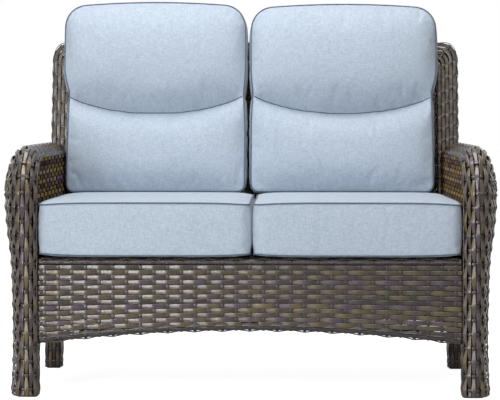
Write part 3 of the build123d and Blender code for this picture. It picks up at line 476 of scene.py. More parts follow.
class Basket:
    """Strands that become one mesh; the left side's is mirrored from the right."""

    def __init__(self, name, seed, side=""):
        self.ending = f"_{side}" if side else ""
        self.mirrored = side == "left"
        self.name = name + self.ending
        self.random = np.random.default_rng(seed)
        self.strands = []

    def strand(self, centre, normal, half_width, thickness, tone, section=SECTION, depth=0.0):
        if len(centre) < 3:
            return
        half_width = np.broadcast_to(half_width, len(centre))
        tangent = unit(np.gradient(centre, axis=0))
        side = unit(np.cross(tangent, normal))
        up = np.cross(side, tangent)
        scale = thickness / 2 if section is ROUND else thickness
        points = (
            centre[:, None, :]
            + side[:, None, :] * (section[None, :, 0, None] * half_width[:, None, None])
            + up[:, None, :] * (section[None, :, 1, None] * scale)
        )
        # depth is the strand's wave along it; the material turns it into painted shade where it
        # dips under.
        depth = np.broadcast_to(depth, len(centre))
        self.strands.append((points, running_length(centre), section[:, 0], tone, depth))

    def build(self, material, node):
        """The strands as one piece of the frame, in the place of a node."""
        m = len(SECTION)
        places = lanes([s[1][-1] for s in self.strands])
        points, faces, maps = [], [], []
        layers = {"tone": [], "across": [], "run": [], "depth": []}
        start = 0
        for (grid, run, widths, tone, depth), (u0, v0, per_mm, lane) in zip(self.strands, places):
            n = len(grid)
            flat = grid.reshape(-1, 3) / 1000
            if self.mirrored:
                flat = flat * np.array((-1, 1, 1))
            points.append(flat)
            layers["tone"].append(np.full(n * m, tone))
            layers["across"].append(np.tile(widths, n))
            layers["run"].append(np.repeat(run, m))
            layers["depth"].append(np.repeat(depth, m))
            i, k = np.meshgrid(np.arange(n - 1), np.arange(m), indexing="ij")
            i, k = i.ravel(), k.ravel()
            k1 = (k + 1) % m
            quads = np.stack([i * m + k, i * m + k1, (i + 1) * m + k1, (i + 1) * m + k], 1) + start
            u = u0 + (run + 3) * per_mm
            v = v0 + lane * (np.arange(m + 1) + 0.4) / (m + 1)
            corners = ((i, k), (i, k + 1), (i + 1, k + 1), (i + 1, k))
            uv = np.stack([np.stack([u[a], v[b]], 1) for a, b in corners], 1)
            first = list(range(start, start + m))[::-1]
            last = list(range(start + (n - 1) * m, start + n * m))
            if self.mirrored:
                quads = quads[:, ::-1]
                uv = uv[:, ::-1]
                first.reverse()
                last.reverse()
            faces.extend(quads.tolist())
            maps.append(uv.reshape(-1, 2))
            angle = math.tau * np.arange(m) / m
            ring = np.stack([np.cos(angle), np.sin(angle)], 1)
            for face, middle in ((first, u0 + 1.2 * per_mm), (last, u[-1] + 1.8 * per_mm)):
                faces.append(face)
                maps.append((middle, v0 + lane / 2) + ring * (per_mm, lane * 0.3))
            start += n * m
        mesh = new_mesh(self.name, np.concatenate(points).tolist(), faces, material)
        for name, values in layers.items():
            layer = mesh.attributes.new(name, "FLOAT", "POINT")
            layer.data.foreach_set("value", np.concatenate(values).astype(np.float32))
        uv_layer = mesh.uv_layers.new(name="OFBake")
        uv_layer.data.foreach_set("uv", np.concatenate(maps).astype(np.float32).ravel())
        mesh.validate()
        place_piece(mesh, "frame", [node + self.ending])


def lanes(lengths):
    """A place in the unit square for each strand: start u, start v, u per mm, lane height."""
    gap = 8.0
    lane = 28.0
    total = sum(length + gap for length in lengths) * lane
    width = max(max(lengths) + gap, math.sqrt(total) * 1.05)
    shelves = []
    order = sorted(range(len(lengths)), key=lambda i: -lengths[i])
    spots = [None] * len(lengths)
    for index in order:
        need = lengths[index] + gap
        for shelf in range(len(shelves)):
            if shelves[shelf] + need <= width:
                break
        else:
            shelf = len(shelves)
            shelves.append(0.0)
        spots[index] = (shelves[shelf], shelf)
        shelves[shelf] += need
    rows = len(shelves)
    return [(u / width, shelf / rows, 1 / width, 1 / rows) for u, shelf in spots]


def place_piece(mesh, body, nodes):
    """An object of the mesh's name that rides a body and replaces nodes."""
    obj = bpy.data.objects.new(mesh.name, mesh)
    SCENE.collection.objects.link(obj)
    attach(obj, body)
    if nodes:
        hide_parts(*nodes)
    return obj


def stretches(sheet, place, along_u, inside, step):
    """Each stretch of a line on the sheet that lies inside: its places, points and normals."""
    size = sheet.u_size if along_u else sheet.v_size

    def look(line):
        across = np.full_like(line, place)
        u, v = (line, across) if along_u else (across, line)
        return u, v, *sheet.at(u, v)

    line = np.linspace(0, size, max(8, int(size / 3)))
    ends = [0, size]
    if inside:
        u, v, points, _ = look(line)
        value = inside(u, v, points)
        k = np.nonzero(np.diff(value > 0))[0]
        share = value[k] / (value[k] - value[k + 1])
        ends = list(line[k] + share * (line[k + 1] - line[k]))
        if value[0] > 0:
            ends.insert(0, 0)
        if value[-1] > 0:
            ends.append(size)
    for low, high in zip(ends[::2], ends[1::2]):
        if high - low >= SHORTEST_STRAND:
            line = np.linspace(low, high, max(4, int((high - low) / step) + 1))
            yield line, *look(line)[2:]


def roof(phase):
    """A wave from -1 to 1 with straight slopes and rounded crests."""
    sharpness = 0.985
    return np.arcsin(sharpness * np.cos(phase)) / math.asin(sharpness)


def weave(basket, sheet, inside=None, row_pitch=ROW_PITCH, warp_pitch=WARP_PITCH, lift=-1.2,
          step=6.2, fine=3.4, closed=False, tones=None, swing=ROW_SWING, taper=0.02,
          thickness=ROW_THICKNESS, backed=False):
    """Rows along u and warps along v, over and under each other in turn.

    taper makes the rows wider where they lie on top. A backed weave has a second layer
    of flat rows in the darkest tone under it, painted shade seen in the gaps."""
    row_count = max(1, round(sheet.v_size / row_pitch))
    warp_count = max(1, round(sheet.u_size / warp_pitch))
    if closed and row_count % 2:
        row_count += 1
    row_gap = sheet.v_size / row_count
    warp_gap = sheet.u_size / warp_count
    for j in range(row_count):
        tone = tones(j) if tones else basket.random.uniform(0.08, 1.0)
        for u, points, normal in stretches(sheet, (j + 0.5) * row_gap, True, inside, step):
            wave = roof(math.pi * (u / warp_gap - 0.5 + j))
            height = lift + swing * wave
            half = row_gap * (ROW_SHARE - 0.4 * taper + taper * wave)
            # The wave goes on as depth, for the painted shade where the row dips under.
            basket.strand(
                points + normal * height[:, None], normal, half, thickness, tone, depth=wave
            )
            if backed:
                # Painted shade: the backing rows take the darkest tone so the gaps between rows
                # look dark.
                sunk = (points - normal * (swing + BACKING_DEPTH))[::2]
                half = row_gap * BACKING_SHARE
                basket.strand(sunk, normal[::2], half, BACKING_THICKNESS, 0.0)
    for i in range(warp_count):
        # Warps take the darkest tones: partly their own dark brown, partly painted shade where the
        # rows dive under them.
        tone = basket.random.uniform(0.0, 0.12)
        for v, points, normal in stretches(sheet, (i + 0.5) * warp_gap, False, inside, fine):
            wave = -np.cos(math.pi * (v / row_gap - 0.5 + i))
            height = lift - 0.12 * swing + WARP_SWING * wave
            basket.strand(
                points + normal * height[:, None], normal, WARP_WIDTH / 2, WARP_THICKNESS, tone
            )


def edge_strand(basket, sheet, u, v, width, thickness, lift, tone):
    """A rounded strand laid along a line on the sheet, such as its border."""
    points, normal = sheet.at(u, v)
    basket.strand(points + normal * lift, normal, width / 2, thickness, tone, ROUND)


def edge_pair(basket, sheet, u, v, step, tones):
    """Two strands side by side along an arched edge."""
    for k, tone in enumerate(tones):
        edge_strand(basket, sheet, u, v + k * step, 6.5, 3.4, 0.4, tone)


# The arm

def arm_point(s, t, z):
    """World place of a point in the right arm's frame: s outwards, t backwards."""
    x = ARM_INNER_HALF + s * math.cos(SPLAY) - t * math.sin(SPLAY)
    y = FRONT_EDGE_Y + s * math.sin(SPLAY) + t * math.cos(SPLAY)
    return spread(x, y, z)


def inner_face_x(y):
    """Half the distance between the arms' inner faces at a depth."""
    return ARM_INNER_HALF - (y - FRONT_EDGE_Y) * math.tan(SPLAY)


def back_y(z):
    """The back's front face at a height."""
    return BACK_FOOT_Y + (z - DECK_HEIGHT) * math.tan(TILT)


def back_distance_at(z):
    return (back_y(z) - FRONT_EDGE_Y) / math.cos(SPLAY)


def smooth_share(height, column):
    """A leg station's column at a height, on a smooth curve through the stations."""
    xs = np.array([s[0] for s in LEG_STATIONS]) * (ROLL_START - GLIDE_HEIGHT) + GLIDE_HEIGHT
    ys = np.array([s[column] for s in LEG_STATIONS])
    slopes = np.gradient(ys, xs)
    slopes[-1] = 0.0
    x = np.clip(height, xs[0], xs[-1])
    k = np.clip(np.searchsorted(xs, x) - 1, 0, len(xs) - 2)
    h = xs[k + 1] - xs[k]
    t = (x - xs[k]) / h
    return (
        ys[k] * (2 * t**3 - 3 * t**2 + 1)
        + slopes[k] * h * (t**3 - 2 * t**2 + t)
        + ys[k + 1] * (3 * t**2 - 2 * t**3)
        + slopes[k + 1] * h * (t**3 - t**2)
    )


def arm_width_at(z):
    return ARM_WIDTH * smooth_share(z, 1)


def arc_through(a, b, c, count):
    """Points of the circle arc from a through b to c."""
    a, b, c = (np.array(p, float) for p in (a, b, c))
    ax, ay, bx, by, cx, cy = *(a - c), *(b - c), *c
    d = 2 * (ax * by - ay * bx)
    if abs(d) < 1e-6:
        return a + (c - a) * np.linspace(0, 1, count)[:, None]
    ux = (by * (ax**2 + ay**2) - ay * (bx**2 + by**2)) / d + cx
    uy = (ax * (bx**2 + by**2) - bx * (ax**2 + ay**2)) / d + cy
    first = math.atan2(a[1] - uy, a[0] - ux)
    middle = (math.atan2(b[1] - uy, b[0] - ux) - first) % math.tau
    last = (math.atan2(c[1] - uy, c[0] - ux) - first) % math.tau
    if middle > last:
        last -= math.tau
    angle = first + last * np.linspace(0, 1, count)
    radius = math.hypot(a[0] - ux, a[1] - uy)
    return np.stack([ux + radius * np.cos(angle), uy + radius * np.sin(angle)], 1)


def arch_line(width, crown, drop, spots):
    """The arch across the arm as (outwards, up) at distances from its inner edge.

    Its length comes back too."""
    p = [(s * width, c * crown + d * drop) for s, c, d in ARCH]
    arcs = [arc_through(*p[k:k + 3], 12) for k in (0, 2, 4)]
    line = np.concatenate([arcs[0], arcs[1][1:], arcs[2][1:]])
    run = running_length(line)
    past = np.maximum(spots - run[-1], 0)[:, None]
    return resample(line, run, spots) + past * unit(line[-1] - line[-2]), run[-1]


LEG_RUN = ROLL_START - GLIDE_HEIGHT
ROLL_RUN = ROLL_RADIUS * math.pi / 2
ARM_RUN = 500.0
ARCH_REACH = 196.0
BAND_RUN = LEG_RUN + ROLL_RUN + ARM_RUN


def band_sheet():
    """The leg's front, the roll and the arm's top as one sheet."""
    stations = np.linspace(0, BAND_RUN, 330)
    spots = np.linspace(0, ARCH_REACH, 80)
    grid, lengths = [], []
    for a in stations:
        height = min(a, LEG_RUN) + GLIDE_HEIGHT
        sizes = ((ARM_WIDTH, 1), (ARM_CROWN, 2), (ARM_DROP, 3))
        line, length = arch_line(*(size * smooth_share(height, k) for size, k in sizes), spots)
        turn = min(max(a - LEG_RUN, 0) / ROLL_RADIUS, math.pi / 2)
        level = max(a - LEG_RUN - ROLL_RUN, 0)
        out_t, out_z = -math.cos(turn), math.sin(turn)
        out = ROLL_RADIUS + line[:, 1]
        grid.append(arm_point(line[:, 0], ROLL_RADIUS + level + out_t * out, height + out_z * out))
        lengths.append(length)
    return Sheet(grid, BAND_RUN, ARCH_REACH, flip=True), stations, lengths


BAND, BAND_STATIONS, BAND_LENGTHS = band_sheet()


def band_edge(u):
    return np.interp(u, BAND_STATIONS, BAND_LENGTHS)


def band_inside(u, v, points):
    return np.minimum(band_edge(u) - 2 - v, back_y(points[:, 2]) - 1 - points[:, 1])


def make_arm_band(side, seed):
    basket = Basket("woven_arm_band", seed, side)
    weave(basket, BAND, band_inside, BAND_PITCH, lift=-1.6, step=4.6, fine=2.6,
          swing=BAND_SWING, taper=BAND_TAPER, thickness=BAND_THICKNESS, backed=True)
    u = np.linspace(0, BAND_RUN, 520)
    points, _ = BAND.at(u, np.zeros_like(u))
    u = u[back_y(points[:, 2]) > points[:, 1]]
    edge_strand(basket, BAND, u, np.full_like(u, 0.5), 4.4, 4.2, 0.0, 0.02)
    edge_strand(basket, BAND, u, band_edge(u) - 2.0, 6.5, 4.0, 0.6, 0.10)
    basket.build(WICKER, "arm_band")


def make_leg_sleeve(side, seed):
    """Inner and rear faces of the front leg."""
    z = np.linspace(GLIDE_HEIGHT, SLEEVE_TOP, 30)[:, None]
    corner = 5.0
    reach = 100.0
    front = LEG_DEPTH - WEAVE - corner
    turn = corner * math.pi / 2
    rear = arm_width_at(z) - 3 * WEAVE - corner
    place = np.linspace(0, reach, 64) * (front + turn + rear) / reach
    angle = np.clip((place - front) / corner, 0, math.pi / 2)
    s = corner * (1 - np.cos(angle)) + np.maximum(place - front - turn, 0)
    t = WEAVE + np.minimum(place, front) + corner * np.sin(angle)
    sheet = Sheet(arm_point(s, t, z), SLEEVE_TOP - GLIDE_HEIGHT, reach)
    basket = Basket("woven_leg_sleeve", seed, side)
    weave(basket, sheet, row_pitch=BAND_PITCH, lift=-1.0, step=6.0, fine=3.2, backed=True)
    basket.build(WICKER, "leg_sleeve")


def roll_limit(t, z):
    """How far inside the arm's rolled outline a point of the inner panel lies."""
    dt, dz = ROLL_RADIUS - t, z - ROLL_START
    corner = ROLL_RADIUS - 4 - np.hypot(np.maximum(dt, 0), np.maximum(dz, 0))
    straight = np.minimum(t - 4, ARM_RIM_HEIGHT - 4 - z)
    return np.where((dt > 0) & (dz > 0), corner, straight)


INNER_PITCH = 12.0
INNER_WARP_PITCH = 34.0
INNER_TONES = (0.84, 0.30, 0.42, 0.80, 0.34)


def make_inner_panel(side, seed):
    """The arm's face beside the seat, from below the seat to the rim."""
    bottom = RAIL_HEIGHT - 13.0
    length = 640.0
    sheet = plane_sheet(
        arm_point(0, 0, bottom), arm_point(0, 1, 0) - arm_point(0, 0, 0), (0, 0, 1),
        length, ARM_RIM_HEIGHT - bottom, flip=True,
    )

    def inside(u, v, points):
        z = points[:, 2]
        behind_leg = np.where(z < SLEEVE_TOP, u - LEG_DEPTH, 1e3)
        return np.minimum(
            np.minimum(roll_limit(u, z), behind_leg), back_y(z) - 0.5 - points[:, 1]
        )

    basket = Basket("woven_arm_inner", seed, side)
    weave(basket, sheet, inside, INNER_PITCH, INNER_WARP_PITCH, lift=-1.9, step=7.0, fine=4.0,
          tones=lambda j: INNER_TONES[j % len(INNER_TONES)])
    # Painted light: the inner panels take the brightened copy of the wicker.
    basket.build(WICKER_INNER_BRIGHTENED, "arm_inner_panel")


def rear_leg_front_at(z):
    return REAR_LEG_FRONT + REAR_LEG_SPLAY * (DECK_HEIGHT - z) / DECK_HEIGHT


def side_arch_at(t):
    """Lower edge of the side panel."""
    first = LEG_DEPTH + 1.5
    last = rear_leg_front_at(APRON_END)
    share = (t - (first + last) / 2) / ((last - first) / 2)
    return APRON_MIDDLE - (APRON_MIDDLE - APRON_END) * share**2


UNDER_ROLL = 40.0


def make_outer_panel(side, seed):
    """The arm's outer side, which follows the leg's curve."""
    top = ARM_RIM_HEIGHT - ARM_DROP
    heights = np.linspace(APRON_END - 4, top, 60)
    length = 660.0
    grid = arm_point(arm_width_at(heights), np.array([[0.0], [length]]), heights)
    sheet = Sheet(grid, length, top - APRON_END + 4)

    def inside(u, v, points):
        z = points[:, 2]
        drop = ARM_DROP * smooth_share(z, 3)
        front = u - drop - 1.0
        low = z - side_arch_at(u) - 3.0
        rear = np.where(z > DECK_HEIGHT, back_distance_at(z), rear_leg_front_at(z)) - u - 1.0
        lip = top - z - 1.0
        roll = np.hypot(u - ROLL_RADIUS, z - ROLL_START) - (ROLL_RADIUS - ARM_DROP) - 1.0
        near = (u < ROLL_RADIUS) & (z > ROLL_START)
        limit = np.minimum(np.minimum(front, low), np.minimum(rear, lip))
        return np.where(near, np.minimum(limit, UNDER_ROLL - roll), limit)

    basket = Basket("woven_arm_outer", seed, side)
    weave(basket, sheet, inside, lift=-1.4, step=6.2, fine=3.6, backed=True)
    t = np.linspace(LEG_DEPTH + 2, rear_leg_front_at(APRON_END) - 2, 90)
    v = side_arch_at(t) - heights[0] + 3.0
    edge_pair(basket, sheet, t, v, 5.5, (0.05, 0.45))
    basket.build(WICKER, "arm_outer_panel")


def make_rear_cap(side, seed):
    """Closes the arm's rear end, against the back's face."""
    bottom = DECK_HEIGHT + 1.0
    slope = (ARM_RIM_HEIGHT + ARM_CROWN - bottom) / math.cos(TILT)
    low = np.array(arm_point(4, 0, bottom), float)
    low[1] = back_y(bottom) - 1.5
    sheet = plane_sheet(
        low, (0, math.sin(TILT), math.cos(TILT)), (1, 0, 0), slope, 92.0, flip=True
    )
    line, _ = arch_line(ARM_WIDTH, ARM_CROWN, ARM_DROP, np.linspace(0, ARCH_REACH, 80))
    top_s, top_z = line[:, 0], line[:, 1] + ARM_RIM_HEIGHT

    def inside(u, v, points):
        z = points[:, 2]
        rim = np.interp(v + 4, top_s[:45], top_z[:45]) - 5 - z
        return np.minimum(rim, arm_width_at(z) - 6 - v - 4)

    basket = Basket("woven_arm_rear_cap", seed, side)
    weave(basket, sheet, inside, BAND_PITCH, lift=-1.2, step=7.0, fine=4.0)
    basket.build(WICKER, "arm_rear_cap")


def make_rear_leg(side, seed):
    """Four-sided sleeve of the rear leg."""
    top = DECK_HEIGHT - BACK_THICKNESS * math.sin(TILT) - 0.3
    z = np.linspace(GLIDE_HEIGHT, top, 24)[:, None]
    corner = 4.0
    half = REAR_LEG_SIZE / 2
    flat = REAR_LEG_SIZE - 2 * corner
    ring = 4 * flat + math.tau * corner
    spots = np.linspace(0, ring, 97)
    part = spots % (ring / 4)
    turn = np.where(spots < ring, np.minimum(spots // (ring / 4), 3), 0) * math.pi / 2
    angle = np.maximum(part - flat, 0) / corner
    a = corner + np.minimum(part, flat) + corner * np.sin(angle) - half
    b = corner * (1 - np.cos(angle)) - half
    s = a * np.cos(turn) - b * np.sin(turn) - half
    t = a * np.sin(turn) + b * np.cos(turn) + half
    grid = arm_point(s + arm_width_at(z), t + rear_leg_front_at(z), z)
    sheet = Sheet(grid, top - GLIDE_HEIGHT, ring, flip=True)
    basket = Basket("woven_rear_leg", seed, side)
    weave(basket, sheet, row_pitch=BAND_PITCH, lift=-1.0, step=6.5, fine=3.4, closed=True,
          backed=True)
    basket.build(WICKER, "rear_leg_sleeve")


# The apron

def arch_z(x):
    """Height of the arched rail's centre line."""
    return RAIL_MID_Z - ARCH_RADIUS + np.sqrt(ARCH_RADIUS**2 - x**2)


APRON_TONES = (
    0.42, 0.30, 0.45, 0.70, 0.42, 0.28, 0.44, 0.06, 0.70, 0.28, 0.34, 0.68, 0.30, 0.10,
)


def make_apron():
    """The woven front below the seat: rows bend up towards the arch."""
    top = RAIL_HEIGHT - 6.0
    depth = top - arch_z(APRON_HALF) - 6.0
    x = np.linspace(-APRON_HALF, APRON_HALF, 120)[:, None]
    v = np.linspace(0, depth, 30)
    z = top - v + 0.5 * (v / depth) ** 1.5 * (arch_z(x) - arch_z(APRON_HALF))
    sheet = Sheet(spread(x, APRON_FACE_Y, z), 2 * APRON_HALF, depth).facing(FORWARD)
    basket = Basket("woven_apron", 31)

    def inside(u, v, points):
        return points[:, 2] - arch_z(points[:, 0]) - 6.0

    def row_tone(j):
        tone = APRON_TONES[j % len(APRON_TONES)] + basket.random.uniform(-0.05, 0.05)
        return min(max(tone, 0), 1)

    weave(basket, sheet, inside, lift=-1.4, step=5.4, fine=3.2, tones=row_tone)
    basket.build(WICKER, "apron_weave")


def wrap_sheet(centre_z):
    """A strip round a rail's front half; centre_z gives the rail's height at x."""
    x = np.linspace(-APRON_HALF, APRON_HALF, 120)[:, None]
    angle = np.linspace(math.pi / 2, -math.pi / 2, 16)
    y = FRONT_RAIL_Y - WRAP_RADIUS * np.cos(angle)
    grid = spread(x, y, centre_z(x) + WRAP_RADIUS * np.sin(angle))
    return Sheet(grid, 2 * APRON_HALF, WRAP_RADIUS * math.pi).facing(FORWARD, (5, 5))


def make_wraps():
    """Strands round the front rail, flat under the cushions, and the arched rail, in the dimmed
    wicker: painted shade.
    """
    for name, node, seed, centre_z, lift, swing in (
        ("wrapped_front_rail", "apron_top_wrap", 41, lambda x: RAIL_HEIGHT, -3.2, 1.6),
        ("wrapped_arched_rail", "apron_bottom_wrap", 43, arch_z, -1.0, ROW_SWING),
    ):
        basket = Basket(name, seed)
        weave(basket, wrap_sheet(centre_z), row_pitch=WRAP_PITCH, lift=lift, step=6.0, fine=2.6,
              swing=swing)
        basket.build(WICKER_SHADED, node)


def make_rear_apron():
    """The woven rear below the back, sloped like the rear legs."""
    lean = math.hypot(DECK_HEIGHT, REAR_LEG_SPLAY)
    cosine, sine = DECK_HEIGHT / lean, REAR_LEG_SPLAY / lean
    _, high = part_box("rear_apron")
    half = high.x * 1000 - 1
    top_z = high.z * 1000
    top_y = REAR_LEG_TOP_Y + REAR_LEG_SIZE / 2 + (DECK_HEIGHT - 3.3 - top_z) * sine / cosine + 3
    depth = (top_z - APRON_END) / cosine
    sheet = plane_sheet(
        (half, top_y, top_z), (-1, 0, 0), (0, sine, -cosine), 2 * half, depth
    ).facing(BACKWARD)
    basket = Basket("woven_rear_apron", 53)

    def low_edge(x):
        return APRON_MIDDLE - (APRON_MIDDLE - APRON_END) * (x / half) ** 2

    def inside(u, v, points):
        return points[:, 2] - low_edge(points[:, 0]) - 3

    weave(basket, sheet, inside, lift=-1.3, step=6.6, fine=3.8, backed=True)
    x = np.linspace(half - 1, -half + 1, 120)
    v = (top_z - low_edge(x) - 3) / cosine
    edge_pair(basket, sheet, half - x, v, -5.5, (0.05, 0.4))
    basket.build(WICKER, "rear_apron")


# The back

def back_point(x, up, forward):
    """World place of a point in the back's frame."""
    y = BACK_FOOT_Y + up * math.sin(TILT) - forward * math.cos(TILT)
    z = DECK_HEIGHT + up * math.cos(TILT) + forward * math.sin(TILT)
    return spread(x, y, z)


def hoop_line(half, top, corner):
    """Left foot, up, over and down: the hoop's outline with fixed counts per run."""
    rise = np.linspace(0, top - corner, 40, endpoint=False)
    over = np.linspace(-half + corner, half - corner, 80, endpoint=False)
    fall = np.linspace(top - corner, 0, 40)

    def bend(centre, first, last):
        angle = np.linspace(first, last, 14, endpoint=False)
        return centre + corner * np.cos(angle), top - corner + corner * np.sin(angle)

    parts = (
        (-half, rise), bend(corner - half, math.pi, math.pi / 2), (over, top),
        bend(half - corner, math.pi / 2, 0), (half, fall),
    )
    return np.concatenate([np.stack(np.broadcast_arrays(*part), 1) for part in parts])


def make_border():
    """Woven border round the back, four faces with eased corners."""
    outer = hoop_line(BACK_HALF, BACK_LENGTH, BORDER_CORNER)
    inner = hoop_line(BACK_HALF - BORDER_WIDTH, BACK_LENGTH - BORDER_WIDTH, BORDER_INNER_CORNER)
    ease = 5.0
    rail = []
    turn = np.linspace(0, math.pi / 2, 5)
    width, deep = BORDER_WIDTH, BACK_THICKNESS
    corners = (
        (ease, ease - deep, 1.5 * math.pi), (ease, -ease, math.pi),
        (width - ease, -ease, math.pi / 2), (width - ease, ease - deep, 0),
    )
    for centre_w, centre_f, start in corners:
        for angle in start - turn:
            rail.append((centre_w + ease * math.cos(angle), centre_f + ease * math.sin(angle)))
    rail = np.array(rail + rail[:1])
    run = running_length(rail)
    spots = np.linspace(0, run[-1], 90)
    inwards, forward = resample(rail, run, spots).T
    share = (inwards / width)[:, None]
    line = outer[:, None] * (1 - share) + inner[:, None] * share
    grid = back_point(line[..., 0], line[..., 1], forward)
    centre = (outer + inner) / 2
    places = running_length(centre)
    even = np.linspace(0, places[-1], 420)
    fine = np.stack([resample(grid[:, j], places, even) for j in range(len(spots))], 1)
    middle = (len(even) // 2, int(len(spots) * 0.45))
    centre_line = back_point(0, BACK_LENGTH - width / 2, -deep / 2)
    sheet = Sheet(fine, places[-1], run[-1]).facing(fine[middle] - centre_line, middle)
    basket = Basket("woven_back_border", 61)
    weave(basket, sheet, row_pitch=BAND_PITCH, lift=-1.0, step=6.5, fine=3.6, closed=True)
    basket.build(WICKER, "back_border")


def make_back_face(name, node, forward, outward, seed):
    """The weave inside the border, on the back's front face or its rear."""
    half = BACK_HALF - BORDER_WIDTH - 0.5
    top = BACK_LENGTH - BORDER_WIDTH - 0.5
    foot, above, ahead = back_point(0, np.array((0, 1, 0)), np.array((0, 0, 1)))
    sheet = plane_sheet(
        back_point(-half, 0, forward), (1, 0, 0), above - foot, 2 * half, top
    ).facing((ahead - foot) * outward)
    basket = Basket(name, seed)
    weave(basket, sheet, lift=-2.9, step=7.2, fine=4.2)
    basket.build(WICKER, node)


def make_deck():
    """The woven seat deck, under the cushions, in the dimmed wicker: painted shade."""
    rear_y = BACK_FOOT_Y - 1.5

    def half_at(y):
        return inner_face_x(y) - 0.8

    widest = half_at(FRONT_RAIL_Y)
    sheet = plane_sheet(
        (-widest, FRONT_RAIL_Y, DECK_HEIGHT), (1, 0, 0), (0, 1, 0), 2 * widest,
        rear_y - FRONT_RAIL_Y,
    )

    def inside(u, v, points):
        return half_at(points[:, 1]) - np.abs(points[:, 0])

    basket = Basket("woven_seat_deck", 71)
    weave(basket, sheet, inside, lift=-3.1, step=7.6, fine=4.4)
    basket.build(WICKER_SHADED, "seat_deck")


# Cushions

def square_ring(n):
    """Grid places of the square's rim in order, for a grid of n by n cells."""
    ring = [(i, 0) for i in range(n)]
    ring += [(n, j) for j in range(n)]
    ring += [(i, n) for i in range(n, 0, -1)]
    ring += [(0, j) for j in range(n, 0, -1)]
    return ring


def round_corners(x, y, half_x, half_y, radii):
    """Moves points of a rectangle's concentric rings onto rings with rounded corners."""
    scale = max(abs(x) / half_x, abs(y) / half_y, 1e-9)
    ex, ey = x / scale, y / scale
    radius = radii[(ex > 0) + 2 * (ey > 0)]
    cx = math.copysign(half_x - radius, ex)
    cy = math.copysign(half_y - radius, ey)
    dx, dy = ex - cx, ey - cy
    if dx * ex > 0 and dy * ey > 0:
        length = math.hypot(dx, dy)
        ex, ey = cx + dx / length * radius, cy + dy / length * radius
    return ex * scale, ey * scale, scale


def shell(name, cells, layers, plan, face, rear, side_bulge, to_world):
    """A closed cushion form: a front grid, a rear grid and the boxing between them.

    plan gives the place of a grid point in the cushion's plane, face and rear its height
    on the two sides. Returns the mesh, and the front and rear edge loops as points."""
    points, faces, index = [], [], {}
    rim = square_ring(cells)

    def spot(i, j, share=1.0):
        return plan((2 * i / cells - 1) * share, (2 * j / cells - 1) * share)

    for level, height in ((0, face), (1, rear)):
        for i in range(cells + 1):
            for j in range(cells + 1):
                x, y, scale = spot(i, j)
                index[level, i, j] = len(points)
                points.append(to_world(x, y, height(x, y, scale)))
    loops = [[points[index[level, i, j]] for i, j in rim] for level in (0, 1)]
    for i in range(cells):
        for j in range(cells):
            ring = ((i, j), (i + 1, j), (i + 1, j + 1), (i, j + 1))
            faces.append([index[0, a, b] for a, b in ring])
            faces.append([index[1, a, b] for a, b in (ring[0], ring[3], ring[2], ring[1])])
    rows = [[index[0, i, j] for i, j in rim]]
    for k in range(1, layers):
        share = k / layers
        row = []
        for i, j in rim:
            x, y, _ = spot(i, j)
            nx, ny, _ = spot(i, j, 0.98)
            length = math.hypot(x - nx, y - ny)
            out = side_bulge * 4 * share * (1 - share)
            top, low = face(x, y, 1.0), rear(x, y, 1.0)
            row.append(len(points))
            points.append(to_world(
                x + out * (x - nx) / length, y + out * (y - ny) / length, top + (low - top) * share
            ))
        rows.append(row)
    rows.append([index[1, i, j] for i, j in rim])
    for upper, lower in zip(rows, rows[1:]):
        for k in range(len(rim)):
            k1 = (k + 1) % len(rim)
            faces.append([upper[k], lower[k], lower[k1], upper[k1]])
    mesh = new_mesh(name, [tuple(c / 1000 for c in p) for p in points], faces, FABRIC)
    mesh.validate()
    return mesh, loops


def read_points(mesh):
    flat = np.zeros(len(mesh.vertices) * 3, np.float32)
    mesh.vertices.foreach_get("co", flat)
    return flat.reshape(-1, 3).astype(float)


SEAM_REACH = 0.0045
SIMULATED_FRAMES = 18
CLOTH = {
    "quality": 4, "mass": 0.25, "tension_stiffness": 18, "compression_stiffness": 18,
    "shear_stiffness": 6, "bending_stiffness": 0.6, "use_pressure": True,
}


def inflate(obj, seams, limit, pressure, spare):
    """Fills the cover by a short cloth simulation, its seams held, and applies it.

    No point moves further than limit, in metres; spare is the cloth's slack."""
    mesh = obj.data
    start = read_points(mesh)
    tree = kdtree.KDTree(len(seams))
    for k, p in enumerate(seams):
        tree.insert(p, k)
    tree.balance()
    held = obj.vertex_groups.new(name="seam")
    held.add([k for k, p in enumerate(start) if tree.find(p)[2] < SEAM_REACH], 1.0, "REPLACE")
    modifier = obj.modifiers.new("fill", "CLOTH")
    cloth = modifier.settings
    for name, value in CLOTH.items():
        setattr(cloth, name, value)
    cloth.uniform_pressure_force = pressure
    cloth.vertex_group_mass = "seam"
    cloth.shrink_min = -spare
    cloth.effector_weights.gravity = 0
    modifier.collision_settings.use_collision = False
    for step in range(1, SIMULATED_FRAMES + 1):
        SCENE.frame_set(step)
    filled = obj.evaluated_get(bpy.context.evaluated_depsgraph_get())
    moved = read_points(filled.to_mesh())
    filled.to_mesh_clear()
    obj.modifiers.remove(modifier)
    obj.vertex_groups.remove(held)
    SCENE.frame_set(1)
    shift = moved - start
    length = np.linalg.norm(shift, axis=1, keepdims=True)
    scale = limit * np.tanh(length / limit) / np.maximum(length, 1e-9)
    mesh.vertices.foreach_set("co", (start + shift * scale).astype(np.float32).ravel())
    mesh.update()


def fill_cover(mesh, kind, side, seams, limit, pressure, spare):
    """Places a cushion's cover, fills it and smooths it by one applied subdivision."""
    obj = place_piece(mesh, f"{kind}_cushion_{side}", [f"{kind}_cover_{side}"])
    inflate(obj, [Vector(p) / 1000 for p in seams], limit, pressure, spare)
    modifier = obj.modifiers.new("finer", "SUBSURF")
    modifier.levels = 1
    modifier.render_levels = 1
    finer = bpy.data.meshes.new_from_object(
        obj.evaluated_get(bpy.context.evaluated_depsgraph_get())
    )
    obj.modifiers.remove(modifier)
    obj.data = finer
    bpy.data.meshes.remove(mesh)
    return obj


CORD_STEP = 5.0
CORD_SIDES = 8


